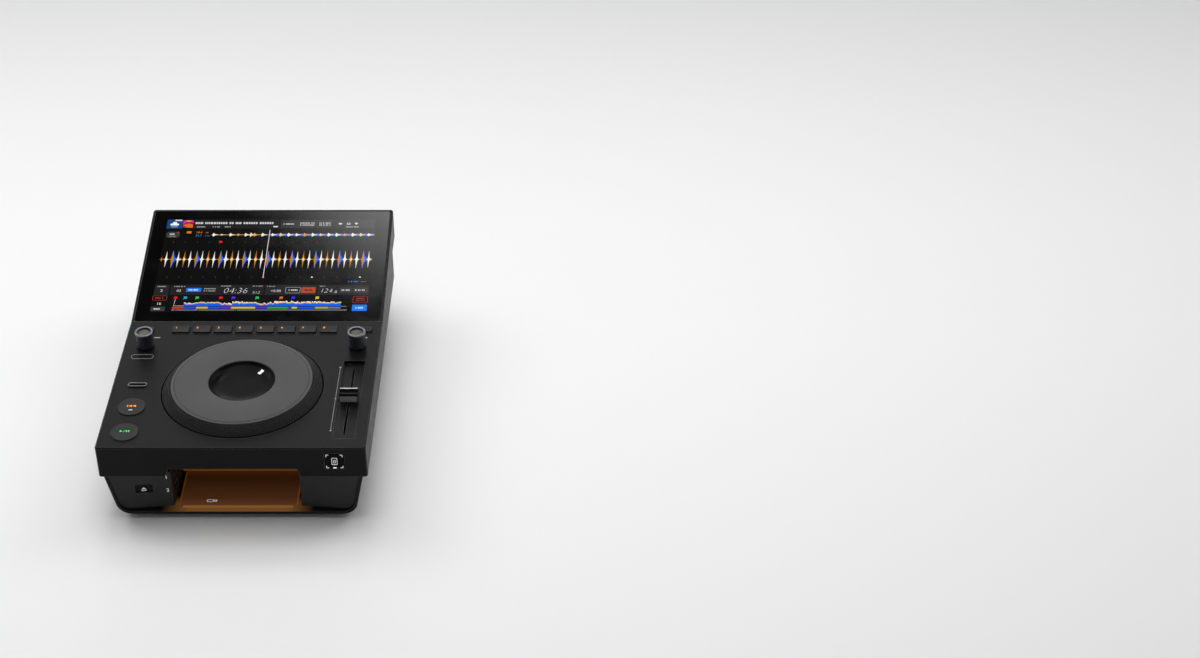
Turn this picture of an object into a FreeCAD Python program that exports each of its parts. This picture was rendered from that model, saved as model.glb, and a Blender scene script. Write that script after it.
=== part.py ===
# Tabletop media player for disc jockeys, as separate pieces at their real size in millimetres.
# The origin is on the table under the middle of the player: X to the right, Y to the back, Z up.
import FreeCAD, Part
import os
import re

import Sketcher
from FreeCAD import Placement, Rotation, Vector

# Driving sizes. Distances named ..._from_front are measured back from the front edge of the panel.
SIZES = {
    # Case
    "case_width": 251.0,
    "case_depth": 364.0,
    "panel_height": 84.0,
    "fascia_height": 34.0,
    "panel_depth": 202.0,
    "case_wall": 2.5,
    "case_corner": 3.0,
    "case_chamfer": 1.0,
    "overhang": 30.0,
    # Display
    "display_tilt": 10.2,
    "display_step": 2.5,
    "display_seam": 0.3,
    "display_front_strip": 4.0,
    "display_rear_seat": 8.0,
    "display_room_start": 14.0,
    "tray_way_length": 17.0,
    "cable_way_width": 80.0,
    "cable_way_start": 30.0,
    "cable_way_length": 40.0,
    "glass_border": 3.0,
    "glass_length": 160.7,
    "glass_start": 0.6,
    "glass_thickness": 1.6,
    "glass_corner": 3.0,
    "lcd_side_margin": 10.7,
    "lcd_length": 148.0,
    "lcd_start": 7.0,
    "lcd_thickness": 3.4,
    "tray_sheet": 1.0,
    "tray_lap": 5.0,
    "tray_front_gap": 1.0,
    "panel_fit": 0.15,
    # Base
    "foot_height": 4.0,
    "foot_radius": 9.0,
    "foot_bevel": 1.0,
    "foot_from_side": 34.0,
    "foot_from_end": 24.0,
    "base_inset": 4.5,
    "base_taper": 12.0,
    "base_corner": 15.0,
    "base_wall": 3.0,
    "base_floor": 4.0,
    "base_rear_step": 4.0,
    "rim_chamfer": 0.8,
    # Media bay
    "bay_width": 120.0,
    "bay_depth": 60.0,
    "bay_roof_drop": 24.9,
    "notch_slant": 3.2,
    "liner_wall": 1.8,
    "liner_gap": 0.3,
    "plate_width": 112.0,
    "plate_from_front": 7.0,
    "plate_length": 51.0,
    "plate_thickness": 2.0,
    "plate_corner": 4.0,
    "light_bar_width": 1.4,
    "light_bar_gap": 0.2,
    "light_bar_height": 1.6,
    # Front blocks
    "block_gap": 1.0,
    "block_fit": 0.2,
    "block_wall": 2.4,
    "block_side_extra": 4.0,
    "block_front_inset": 0.8,
    "block_recess": 7.4,
    "block_edge": 1.0,
    "usb_from_front": 24.0,
    "usb_low_height": 24.0,
    "usb_pitch": 15.5,
    "usb_width": 14.4,
    "usb_height": 7.0,
    "usb_depth": 14.0,
    "usb_shell": 0.5,
    "usb_tongue": 1.8,
    "usb_tongue_margin": 2.0,
    "usb_tongue_drop": 1.0,
    "usb_sink": 0.4,
    "usb_fit": 0.2,
    "eject_from_side": 39.5,
    "eject_height": 31.9,
    "eject_width": 15.4,
    "eject_tall": 8.5,
    "eject_sink": 1.2,
    "eject_room": 0.6,
    "eject_room_depth": 6.0,
    # Reader window in the fascia
    "reader_from_side": 29.8,
    "reader_drop": 15.7,
    "reader_size": 18.4,
    "reader_corner": 2.5,
    "reader_thickness": 1.0,
    # Jog wheel
    "jog_from_front": 92.5,
    "jog_radius": 76.5,
    "jog_gap": 1.2,
    "jog_rise": 9.0,
    "jog_plate_radius": 67.4,
    "jog_plate_step": 1.6,
    "jog_plate_drop": 0.5,
    "jog_plate_thickness": 1.6,
    "jog_skirt_depth": 7.0,
    "jog_skirt_wall": 2.4,
    "jog_flange": 2.8,
    "jog_flange_thickness": 2.0,
    "jog_web": 2.0,
    "dish_radius": 31.6,
    "dish_floor_radius": 25.5,
    "dish_depth": 5.0,
    "dish_wall": 1.5,
    "dish_fit": 0.15,
    "drum_wall": 2.0,
    "drum_depth": 6.0,
    "hub_wall": 3.0,
    "bearing_radius": 11.0,
    "bearing_height": 7.0,
    "bearing_drop": 1.5,
    "spindle_radius": 4.0,
    "shaft_fit": 0.04,
    "encoder_disc_radius": 47.0,
    "encoder_disc_sheet": 0.8,
    "encoder_disc_lap": 4.0,
    "encoder_slot_margin": 2.0,
    "encoder_slots": 30.0,
    "encoder_slot_length": 5.0,
    "encoder_slot_width": 2.4,
    "sensor_jaw": 1.6,
    "sensor_width": 14.0,
    "sensor_reach": 9.0,
    "sensor_back": 4.0,
    "sensor_spine": 3.0,
    "sensor_gap": 1.0,
    # Jog mount
    "mount_drop": 20.0,
    "mount_sheet": 2.0,
    "mount_plate_radius": 52.0,
    "mount_arm_width": 16.0,
    "mount_post_reach": 85.0,
    "mount_post_radius": 3.0,
    "mount_pad": 1.5,
    "spindle_flange": 6.0,
    "spindle_flange_sheet": 2.0,
    "spindle_shoulder": 2.0,
    "spindle_shoulder_gap": 0.3,
    "spindle_end_gap": 0.4,
    # Buttons on the panel
    "button_fit": 0.35,
    "button_travel": 1.0,
    "button_seat_gap": 0.2,
    "button_flange": 1.1,
    "button_flange_sheet": 1.0,
    "button_edge": 0.4,
    "stem_size": 4.0,
    "stem_reach": 2.1,
    "switch_clearance": 0.2,
    "button_column_from_side": 24.3,
    "round_button_radius": 13.1,
    "round_button_rise": 1.2,
    "play_from_front": 23.0,
    "cue_from_front": 61.6,
    "shift_from_front": 96.3,
    "shift_width": 19.2,
    "shift_length": 6.6,
    "pill_rise": 1.4,
    "hot_cue_from_front": 187.6,
    "hot_cue_row_from_side": 43.575,
    "hot_cue_gap": 3.75,
    "hot_cue_length": 11.0,
    "hot_cue_rise": 1.5,
    "hot_cue_corner": 1.2,
    "small_from_front": 187.4,
    "small_width": 11.6,
    "small_length": 8.6,
    "small_corner": 3.4,
    "clear_from_side": 20.0,
    "back_from_side": 29.1,
    "tag_from_side": 14.8,
    # Knobs
    "knob_from_front": 161.0,
    "knob_from_side": 21.5,
    "knob_lift": 0.8,
    "knob_height": 17.5,
    "knob_radius": 8.6,
    "knob_waist": 8.2,
    "knob_press": 0.5,
    "knob_skirt": 1.5,
    "knob_flare": 4.0,
    "knob_top_wall": 5.0,
    "ring_radius": 9.0,
    "ring_width": 2.5,
    "ring_height": 2.2,
    "pit_depth": 2.0,
    "shaft_radius": 3.0,
    "bush_radius": 4.0,
    "bush_fit": 0.3,
    "encoder_body": 12.5,
    "encoder_wall": 0.5,
    "rotor_radius": 5.0,
    "rotor_height": 3.8,
    "rotor_gap": 0.2,
    "encoder_drop": 1.0,
    "shaft_end_gap": 0.9,
    "bush_rise": 0.2,
    # Tempo fader
    "tempo_from_front": 74.5,
    "tempo_from_side": 21.9,
    "tempo_travel": 48.0,
    "trough_width": 20.6,
    "trough_front": 14.2,
    "trough_back": 136.1,
    "trough_deep": 4.0,
    "trough_shallow": 0.3,
    "trough_wall": 1.8,
    "stem_blade": 1.2,
    "stem_length": 8.0,
    "slot_width": 1.8,
    "slot_spare": 1.5,
    "fader_width": 12.6,
    "fader_depth": 11.0,
    "fader_wall": 1.2,
    "fader_end": 4.0,
    "carriage_height": 5.0,
    "carriage_length": 13.0,
    "carriage_fit": 0.3,
    "cap_width": 17.7,
    "cap_length": 11.0,
    "cap_height": 10.0,
    "cap_lift": 0.6,
    "cap_ridge": 1.6,
    "cap_valley": 3.2,
    "cap_front_drop": 0.4,
    "cap_front_lean": 1.0,
    "cap_rear_lean": 0.6,
    "cap_dip_half": 1.2,
    "blade_fit": 0.05,
    "blade_reach": 5.0,
    # Boards
    "board_sheet": 1.6,
    "switch_board_drop": 10.5,
    "switch_board_edge": 2.0,
    "switch_board_start": 8.0,
    "switch_board_gap": 168.0,
    "switch_board_rear_strip": 172.0,
    "switch_board_right_start": 148.0,
    "switch_size": 6.0,
    "board_post_radius": 2.6,
    "board_post_outer_from_side": 8.5,
    "board_post_inner_from_side": 39.5,
    "board_post_row_front": 40.0,
    "board_post_row_middle": 112.0,
    "board_post_row_left": 170.0,
    "board_post_row_right": 176.0,
    "board_way": 1.0,
    "board_rear_gap": 1.0,
    "main_board_lift": 5.0,
    "main_board_margin": 8.0,
    "main_board_right_from_side": 73.5,
    "main_board_front": 92.0,
    "main_post_margin": 8.0,
    "main_post_right_margin": 14.0,
    "main_post_rear_margin": 54.0,
    "shield_width": 46.0,
    "shield_length": 38.0,
    "shield_height": 5.0,
    "shield_from_middle": 30.0,
    "shield_from_front": 210.0,
    "header_width": 36.0,
    "header_length": 6.0,
    "header_height": 7.0,
    "header_from_side": 55.5,
    "header_from_front": 150.0,
    "can_radius": 4.0,
    "can_height": 10.0,
    "can_pitch": 10.0,
    "can_from_front": 140.0,
    "supply_left_from_side": 65.5,
    "supply_right_from_side": 23.5,
    "supply_length": 110.0,
    "supply_inlet_gap": 4.0,
    "supply_post_margin": 6.0,
    "supply_post_front_margin": 8.0,
    "supply_post_rear_margin": 34.0,
    "supply_height": 24.0,
    "coil_width": 26.0,
    "coil_length": 24.0,
    "coil_from_rear": 76.0,
    "supply_can_radius": 8.0,
    "supply_can_drop": 4.0,
    "supply_can_margin": 12.0,
    "supply_can_from_rear": 46.0,
    "fin_sheet": 3.0,
    "fin_margin": 4.0,
    "fin_length": 30.0,
    "fin_drop": 2.0,
    "fin_from_rear": 50.0,
    # Rear connectors
    "rear_sheet": 1.2,
    "rear_opening_from_side": 27.5,
    "rear_opening_low": 11.0,
    "rear_opening_high": 45.0,
    "rear_lap": 2.0,
    "jack_fit": 0.25,
    "barrel_radius": 4.15,
    "barrel_shoulder": 5.0,
    "barrel_length": 8.0,
    "barrel_bore": 1.6,
    "barrel_pitch": 15.0,
    "barrel_lift": 8.0,
    "audio_from_side": 47.5,
    "audio_body_depth": 13.0,
    "audio_body_gap": 0.3,
    "audio_body_wall": 1.5,
    "network_from_side": 87.5,
    "network_width": 16.0,
    "network_height": 13.6,
    "network_depth": 18.0,
    "network_wall": 1.5,
    "jack_back": 2.0,
    "link_from_side": 113.5,
    "link_width": 12.2,
    "link_height": 11.0,
    "link_depth": 16.0,
    "link_wall": 0.8,
    "link_tongue_width": 6.0,
    "link_tongue_height": 3.2,
    "link_tongue_drop": 3.0,
    "inlet_from_side": 45.5,
    "inlet_width": 31.0,
    "inlet_height": 24.5,
    "inlet_centre_height": 28.0,
    "inlet_depth": 22.0,
    "inlet_flange": 2.0,
    "inlet_cavity_width": 24.4,
    "inlet_cavity_height": 16.4,
    "inlet_floor": 4.0,
    "pin_pitch": 7.0,
    "pin_width": 2.0,
    "pin_tall": 4.0,
    "pin_drop": 1.5,
    "earth_pin_rise": 2.5,
    "pin_end_drop": 1.0,
    "power_from_side": 77.5,
    "power_radius": 5.0,
    "power_height": 28.0,
    "power_stroke": 2.0,
    "power_proud": 1.5,
    "power_edge": 0.6,
    "power_stem": 3.0,
    # Screws
    "screw_from_board_edge": 8.0,
    "screw_right_front_from_side": 37.5,
    "screw_right_back_from_side": 71.5,
    "screw_front_row": 118.0,
    "screw_back_row_from_rear": 68.0,
    "boss_radius": 4.6,
    "boss_bore": 1.6,
    "screw_radius": 1.5,
    "screw_head_radius": 2.8,
    "screw_head_height": 2.4,
    "screw_web": 6.0,
    "screw_bite": 12.0,
    "screw_end_gap": 1.0,
    "counterbore_radius": 3.2,
}

HOT_CUES = 8

# Places and sizes worked out from the driving ones.
DERIVED = {
    "half_width": "case_width / 2",
    "front": "-case_depth / 2",
    "rear": "case_depth / 2",
    "fold": "front + panel_depth",
    "split": "panel_height - fascia_height",
    "under_panel": "panel_height - case_wall",
    "display_seat": "panel_height - display_step",
    "display_top": "panel_height + (case_depth - panel_depth) * tan(display_tilt)",
    "case_back": "rear - overhang",
    "base_back": "case_back - base_rear_step",
    "base_inner_back": "base_back - base_wall",
    "floor_top": "foot_height + base_floor",
    "notch_top": "panel_height - bay_roof_drop",
    "bay_half": "bay_width / 2",
    "bay_back": "front + bay_depth",
    "base_top_half": "half_width - base_inset",
    "base_bottom_half": "base_top_half - (split - foot_height) * tan(base_taper)",
    "inner_top_half": "base_top_half - base_wall",
    "inner_bottom_half": "inner_top_half - (split - floor_top) * tan(base_taper)",
    "inner_corner": "base_corner - base_wall",
    "block_floor": "floor_top + block_gap",
    "block_bottom_half": "inner_top_half - block_fit - (split - block_floor) * tan(base_taper)",
    "block_top_half": "inner_top_half - block_fit",
    "block_back": "bay_back + liner_wall",
    "board_top": "panel_height - switch_board_drop",
    "switch_top": "under_panel - button_seat_gap - button_flange_sheet - stem_reach"
                  " - button_travel - switch_clearance",
    "main_board_bottom": "floor_top + main_board_lift",
    "main_board_top": "main_board_bottom + board_sheet",
    "jog_y": "front + jog_from_front",
    "jog_hole": "jog_radius + jog_gap",
    "mount_top": "panel_height - mount_drop + mount_sheet",
    "tempo_y": "front + tempo_from_front",
    "trough_underside": "panel_height - trough_deep - trough_wall",
    "blade_top": "panel_height + blade_reach",
    "lcd_half": "lcd_width / 2",
    "ledge_depth": "glass_thickness + lcd_thickness",
    "tempo_from_middle": "half_width - tempo_from_side",
    "knob_from_middle": "half_width - knob_from_side",
    "button_column": "half_width - button_column_from_side",
    "clear_from_middle": "half_width - clear_from_side",
    "back_from_middle": "half_width - back_from_side",
    "tag_from_middle": "half_width - tag_from_side",
    "eject_from_middle": "half_width - eject_from_side",
    "reader_from_middle": "half_width - reader_from_side",
    "audio_from_middle": "half_width - audio_from_side",
    "network_from_middle": "half_width - network_from_side",
    "link_from_middle": "half_width - link_from_side",
    "inlet_from_middle": "half_width - inlet_from_side",
    "power_from_middle": "half_width - power_from_side",
    "supply_left": "half_width - supply_left_from_side",
    "supply_right": "half_width - supply_right_from_side",
    "main_board_left": "screw_left + main_board_margin",
    "main_board_right": "half_width - main_board_right_from_side",
    "screw_left": "switch_board_gap / 2 + screw_from_board_edge",
    "screw_right_front": "half_width - screw_right_front_from_side",
    "screw_right_back": "half_width - screw_right_back_from_side",
    "rear_opening_half": "half_width - rear_opening_from_side",
    "board_post_outer": "half_width - board_post_outer_from_side",
    "board_post_inner": "half_width - board_post_inner_from_side",
    "header_from_middle": "half_width - header_from_side",
    "hot_cue_pitch": f"(2 * (half_width - hot_cue_row_from_side) + hot_cue_gap) / {HOT_CUES}",
    "hot_cue_width": "hot_cue_pitch - hot_cue_gap",
    "lcd_width": "case_width - 2 * lcd_side_margin",
    "screw_back_row": "case_depth - screw_back_row_from_rear",
}

doc = FreeCAD.newDocument("media_player")
sheet = doc.addObject("Spreadsheet::Sheet", "Sizes")
pieces = []


def fill_sheet():
    """Write every driving size to the sheet, one row each, with its name as alias."""
    for row, (name, value) in enumerate(SIZES.items(), start=1):
        sheet.set(f"A{row}", name)
        sheet.set(f"B{row}", str(value))
        sheet.setAlias(f"B{row}", name)
    doc.recompute()


def expand(text):
    """Replace derived names by their formulas until only driving sizes are left."""
    def swap(match):
        word = match.group()
        if word in DERIVED:
            return "(" + expand(DERIVED[word]) + ")"
        return "Sizes." + word if word in SIZES else word
    return re.sub(r"[a-z][a-z_]*", swap, text)


def number(text):
    """Value of a size expression."""
    return float(sheet.evalExpression(expand(str(text))))


def bind(item, path, text):
    """Tie one property of an object to a size expression."""
    item.setExpression(path, expand(str(text)))


def around(centre, size):
    """Limits of a length laid evenly about its centre."""
    return f"({centre}) - ({size}) / 2", f"({centre}) + ({size}) / 2"


def between(half):
    """Limits of a length laid evenly about zero."""
    return f"-({half})", f"{half}"


def keep(item, label):
    """Name a finished piece and remember it for the export."""
    item.Label = label
    pieces.append(item)
    return item


# Primitives and booleans

def block(across, along, up):
    """Box between limits on X, Y and Z."""
    box = doc.addObject("Part::Box", "block")
    limits = zip(("Length", "Width", "Height"), "xyz", (across, along, up))
    for side, axis, (low, high) in limits:
        bind(box, side, f"({high}) - ({low})")
        bind(box, f"Placement.Base.{axis}", low)
    return box


TURN_TO = {
    "X": Rotation(Vector(0, 1, 0), 90),
    "Y": Rotation(Vector(1, 0, 0), -90),
    "Z": Rotation(),
}


def rod(radius, span, first, second, axis="Z"):
    """Round bar along one axis between two limits; first and second place it on the other two."""
    bar = doc.addObject("Part::Cylinder", "rod")
    bar.Placement = Placement(Vector(), TURN_TO[axis])
    low, high = span
    bind(bar, "Radius", radius)
    bind(bar, "Height", f"({high}) - ({low})")
    others = [name for name in "xyz" if name != axis.lower()]
    bind(bar, f"Placement.Base.{axis.lower()}", low)
    bind(bar, f"Placement.Base.{others[0]}", first)
    bind(bar, f"Placement.Base.{others[1]}", second)
    return bar


def fuse(*shapes):
    """One solid from several that meet."""
    union = doc.addObject("Part::MultiFuse", "union")
    union.Shapes = list(shapes)
    union.Refine = True
    return union


def cut(base, *tools):
    """Base with every tool taken out of it."""
    result = doc.addObject("Part::Cut", "cut")
    result.Base = base
    result.Tool = tools[0] if len(tools) == 1 else group(*tools)
    result.Refine = True
    return result


def group(*shapes):
    """Separate solids kept as one object."""
    together = doc.addObject("Part::Compound", "group")
    together.Links = list(shapes)
    return together


# Sketched bodies

PLANES = {"XY": ("XY_Plane", 1), "XZ": ("XZ_Plane", -1), "YZ": ("YZ_Plane", 1)}


def new_body(name):
    """Empty body with a readable name."""
    return doc.addObject("PartDesign::Body", name)


def outline(body, plane, corners, offset="0"):
    """Closed polygon on one of the body's own planes, moved along the plane's axis by offset."""
    role, sign = PLANES[plane]
    sketch = body.newObject("Sketcher::SketchObject", "outline")
    support = [item for item in body.Origin.OriginFeatures if item.Role == role][0]
    sketch.AttachmentSupport = (support, [""])
    sketch.MapMode = "FlatFace"
    bind(sketch, "AttachmentOffset.Base.z", f"{sign} * ({offset})")
    places = [Vector(number(u), number(v), 0) for u, v in corners]
    count = len(places)
    for index, place in enumerate(places):
        sketch.addGeometry(Part.LineSegment(place, places[(index + 1) % count]))
    for index in range(count):
        joint = Sketcher.Constraint("Coincident", index, 2, (index + 1) % count, 1)
        sketch.addConstraint(joint)
    for index, corner in enumerate(corners):
        for kind, text in zip(("DistanceX", "DistanceY"), corner):
            rule = Sketcher.Constraint(kind, -1, 1, index, 1, number(text))
            row = sketch.addConstraint(rule)
            bind(sketch, f"Constraints[{row}]", text)
    return sketch


def add_prism(body, plane, corners, span):
    """Pad a polygon between two limits along the plane's axis."""
    low, high = span
    sketch = outline(body, plane, corners, low if PLANES[plane][1] > 0 else high)
    pad = body.newObject("PartDesign::Pad", "pad")
    pad.Profile = sketch
    bind(pad, "Length", f"({high}) - ({low})")
    return pad


def take_prism(body, plane, corners, span):
    """Pocket a polygon out of the body between two limits along the plane's axis."""
    low, high = span
    before = solid_volume(body)
    sketch = outline(body, plane, corners, high if PLANES[plane][1] > 0 else low)
    pocket = body.newObject("PartDesign::Pocket", "pocket")
    pocket.Profile = sketch
    bind(pocket, "Length", f"({high}) - ({low})")
    if solid_volume(body) >= before:
        raise RuntimeError(f"a pocket in {body.Label} took nothing away")
    return pocket


def solid_volume(body):
    """Volume of a body after a recompute."""
    doc.recompute()
    return body.Shape.Volume


def rectangle(across, along):
    """Corners of a rectangle from its limits."""
    return [(across[0], along[0]), (across[1], along[0]),
            (across[1], along[1]), (across[0], along[1])]


def add_block(body, across, along, up):
    """Pad a box on the body between limits on X, Y and Z."""
    return add_prism(body, "XY", rectangle(across, along), up)


def find_edges(body, test):
    """Names of the body's edges that pass a test of their two ends."""
    doc.recompute()
    found = []
    for index, edge in enumerate(body.Tip.Shape.Edges, start=1):
        ends = [vertex.Point for vertex in edge.Vertexes]
        if len(ends) == 2 and test(ends[0], ends[1]):
            found.append(f"Edge{index}")
    if not found:
        raise RuntimeError(f"no edge to dress in {body.Label}")
    return found


def dress(body, kind, radius, test):
    """Fillet or chamfer the body's edges that pass a test."""
    base = body.Tip
    names = find_edges(body, test)
    feature = body.newObject(f"PartDesign::{kind}", kind.lower())
    feature.Base = (base, names)
    bind(feature, "Radius" if kind == "Fillet" else "Size", radius)
    return feature


def runs(axis, **where):
    """Edge test: parallel to one axis, with the given coordinates at both ends."""
    wanted = {name: number(text) for name, text in where.items()}

    def test(a, b):
        step = b - a
        sideways = [abs(getattr(step, name)) for name in "xyz" if name != axis]
        if max(sideways) > 1e-4 or abs(getattr(step, axis)) < 1e-4:
            return False
        return all(abs(getattr(a, name) - value) < 1e-3 for name, value in wanted.items())
    return test


def rounded_plate(name, across, along, up, corner):
    """Plate with rounded upright corners."""
    body = new_body(name)
    add_block(body, across, along, up)
    dress(body, "Fillet", corner, runs("z"))
    return body


def spun(name, profile, place=("0", "0", "0"), axis="Z"):
    """Solid turned from a profile of (radius, height) pairs about an upright line at a place."""
    body = new_body(name)
    sketch = outline(body, "XZ", profile)
    turn = body.newObject("PartDesign::Revolution", "turned")
    turn.Profile = sketch
    turn.ReferenceAxis = (sketch, ["V_Axis"])
    turn.Angle = 360
    body.Placement = Placement(Vector(), TURN_TO[axis])
    for coordinate, text in zip("xyz", place):
        bind(body, f"Placement.Base.{coordinate}", text)
    return body


def on_slope(item):
    """Carry an object drawn flat at the origin onto the sloping display plane at the fold."""
    tilt = Rotation(Vector(1, 0, 0), number("display_tilt"))
    item.Placement = Placement(Vector(), tilt)
    bind(item, "Placement.Base.y", "fold")
    bind(item, "Placement.Base.z", "panel_height")
    return item


# Panel buttons: where each one is and how large

def hot_cue_middle(index):
    """X of a hot cue button, counted from the left."""
    return f"hot_cue_pitch * {index - (HOT_CUES - 1) / 2}"


RECTANGLE_BUTTONS = {
    "shift_button": ("-button_column", "shift_from_front", "shift_width", "shift_length",
                     "pill_rise", "shift_length / 2 - 0.05"),
    "clear_button": ("-clear_from_middle", "small_from_front", "small_width", "small_length",
                     "pill_rise", "small_corner"),
    "back_button": ("back_from_middle", "small_from_front", "small_width", "small_length",
                    "pill_rise", "small_corner"),
    "tag_button": ("tag_from_middle", "small_from_front", "small_width", "small_length",
                   "pill_rise", "small_corner"),
}
for number_of_cue in range(HOT_CUES):
    RECTANGLE_BUTTONS[f"hot_cue_button_{number_of_cue + 1}"] = (
        hot_cue_middle(number_of_cue), "hot_cue_from_front", "hot_cue_width", "hot_cue_length",
        "hot_cue_rise", "hot_cue_corner")

ROUND_BUTTONS = {"play_button": "play_from_front", "cue_button": "cue_from_front"}
KNOBS = {"loop": "-knob_from_middle", "browse": "knob_from_middle"}
SCREWS = [("-screw_left", "front + screw_front_row"), ("screw_right_front", "front + screw_front_row"),
          ("-screw_left", "front + screw_back_row"), ("screw_right_back", "front + screw_back_row")]
BOARD_POSTS = [("-board_post_outer", "front + board_post_row_front"),
               ("-board_post_inner", "front + board_post_row_left"),
               ("board_post_inner", "front + board_post_row_right"),
               ("-board_post_outer", "front + board_post_row_middle")]


def button_hole(name):
    """Opening in the panel for a rectangular button, with the button's clearance."""
    middle, back, width, length, rise, corner = RECTANGLE_BUTTONS[name]
    return rounded_plate("hole", around(middle, f"{width} + 2 * button_fit"),
                         around(f"front + {back}", f"{length} + 2 * button_fit"),
                         ("under_panel - 1", "panel_height + 1"), f"{corner} + button_fit")


# Case

def upper_case():
    """Control panel, fascia, sides and back in one moulding, open below."""
    shell = new_body("panel_shell")
    step = ("case_back", "display_seat")
    add_prism(shell, "YZ", [("front", "split"), ("front", "panel_height"),
                            ("fold", "panel_height"), ("fold", "display_seat"),
                            step, ("case_back", "split")], between("half_width"))
    dress(shell, "Fillet", "case_corner", runs("z", y="front"))
    dress(shell, "Chamfer", "case_chamfer", runs("x", y="front", z="panel_height"))
    dress(shell, "Fillet", "case_corner", runs("z", y="case_back"))
    inside = between("half_width - case_wall")
    under_seat = "display_seat - case_wall"
    take_prism(shell, "YZ", [("front + case_wall", "split - 1"), ("front + case_wall", "under_panel"),
                             ("fold - case_wall", "under_panel"), ("fold - case_wall", under_seat),
                             ("case_back - case_wall", under_seat),
                             ("case_back - case_wall", "split - 1")], inside)

    trough = around("tempo_from_middle", "trough_width")
    pad = block(around("tempo_from_middle", "trough_width + 2 * trough_wall"),
                ("front + trough_front - trough_wall", "front + trough_back + trough_wall"),
                ("trough_underside", "panel_height - case_wall / 2"))
    posts = [rod("board_post_radius", ("board_top", "panel_height - case_wall / 2"), x, y)
             for x, y in BOARD_POSTS]
    tops = ["panel_height", "panel_height", "display_seat", "display_seat"]
    bosses = [rod("boss_radius", ("split", f"{top} - case_wall / 2"), x, y)
              for (x, y), top in zip(SCREWS, tops)]
    solid = fuse(shell, pad, *posts, *bosses)

    sink = new_body("trough_space")
    add_prism(sink, "YZ", [("front + trough_front", "panel_height + 1"),
                           ("front + trough_front", "panel_height - trough_shallow"),
                           ("front + trough_back", "panel_height - trough_deep"),
                           ("front + trough_back", "panel_height + 1")], trough)
    slot = block(around("tempo_from_middle", "slot_width"),
                 around("tempo_y", "2 * tempo_travel + stem_length + 2 * slot_spare"),
                 ("trough_underside - 1", "panel_height"))
    through = ("under_panel - 1", "panel_height + 1")
    holes = [rod("jog_hole", through, "0", "jog_y")]
    for name in ROUND_BUTTONS:
        holes.append(rod("round_button_radius + button_fit", through, "-button_column",
                         f"front + {ROUND_BUTTONS[name]}"))
    for name in KNOBS:
        holes.append(rod("bush_radius + bush_fit", through, KNOBS[name], "front + knob_from_front"))
    holes += [button_hole(name) for name in RECTANGLE_BUTTONS]
    bores = [rod("boss_bore", ("split - 1", "split + screw_bite"), x, y) for x, y in SCREWS]

    notch = new_body("bay_notch")
    add_prism(notch, "XZ", notch_outline("split - 1"), ("front - 1", "front + case_wall + 1"))
    window = rounded_plate("reader_recess", between("reader_size / 2 + panel_fit"),
                           between("reader_size / 2 + panel_fit"), ("0", "reader_thickness + 1"),
                           "reader_corner + panel_fit")
    on_fascia(window, "front - 1")
    level = ("under_panel - case_wall", "panel_height")
    way_start = "fold + display_front_strip"
    tray_way = block(between("half_width - case_wall"),
                     (way_start, f"{way_start} + tray_way_length"), level)
    cable_way = block(("-cable_way_width / 2", "cable_way_width / 2"),
                      ("fold + cable_way_start", "fold + cable_way_start + cable_way_length"), level)
    keep(cut(solid, sink, slot, *holes, *bores, notch, window, tray_way, cable_way), "upper_case")


def notch_outline(bottom):
    """Outline of the bay notch in the fascia, with slanted ends."""
    wide = "bay_half + notch_slant"
    return [(f"-({wide})", bottom), (f"-({wide})", "split"), ("-bay_half", "notch_top"),
            ("bay_half", "notch_top"), (wide, "split"), (wide, bottom)]


def on_fascia(item, depth):
    """Stand a plate drawn flat at the origin up against the fascia, with its top to the back."""
    item.Placement = Placement(Vector(), Rotation(Vector(1, 0, 0), -90))
    bind(item, "Placement.Base.x", "reader_from_middle")
    bind(item, "Placement.Base.y", depth)
    bind(item, "Placement.Base.z", "panel_height - reader_drop")
    return item


def lower_case():
    """Tapered tray with a rounded bottom, open at the top and the front."""
    tray = new_body("base_tray")
    outer = [("-(base_top_half)", "split"), ("-(base_bottom_half)", "foot_height"),
             ("base_bottom_half", "foot_height"), ("base_top_half", "split")]
    add_prism(tray, "XZ", outer, ("front", "base_back"))
    dress(tray, "Fillet", "base_corner", runs("y", z="foot_height"))
    lip = number("front")
    top = number("split")
    dress(tray, "Chamfer", "rim_chamfer",
          lambda a, b: abs(a.y - lip) + abs(b.y - lip) < 1e-4 and min(a.z, b.z) < top - 1e-3)
    inner = [("-(inner_top_half)", "split + 1"), ("-(inner_top_half)", "split"),
             ("-(inner_bottom_half)", "floor_top"), ("inner_bottom_half", "floor_top"),
             ("inner_top_half", "split"), ("inner_top_half", "split + 1")]
    space = new_body("base_space")
    add_prism(space, "XZ", inner, ("front - 1", "base_inner_back"))
    dress(space, "Fillet", "inner_corner", runs("y", z="floor_top"))

    bosses = [rod("boss_radius", ("foot_height + base_floor / 2", "split"), x, y) for x, y in SCREWS]
    posts = [rod("board_post_radius", ("foot_height + base_floor / 2", "main_board_bottom"), x, y)
             for x, y in main_board_posts() + supply_posts()]
    solid = fuse(cut(tray, space), *bosses, *posts)
    opening = block(between("rear_opening_half"), ("base_inner_back - 1", "base_back + 1"),
                    ("rear_opening_low", "rear_opening_high"))
    bores = [rod("boss_bore + shaft_fit", ("foot_height", "split + 1"), x, y) for x, y in SCREWS]
    sinks = [rod("counterbore_radius", ("foot_height - 1", "split - screw_web"), x, y)
             for x, y in SCREWS]
    keep(cut(solid, opening, *bores, *sinks), "lower_case")


def main_board_posts():
    """Places of the posts under the main board, near its corners."""
    left = "-main_board_left + main_post_margin"
    right = "main_board_right - main_post_right_margin"
    near = "front + main_board_front + main_post_margin"
    far = "base_inner_back - main_post_rear_margin"
    return [(left, near), (right, near), (left, far), (right, far)]


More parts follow.
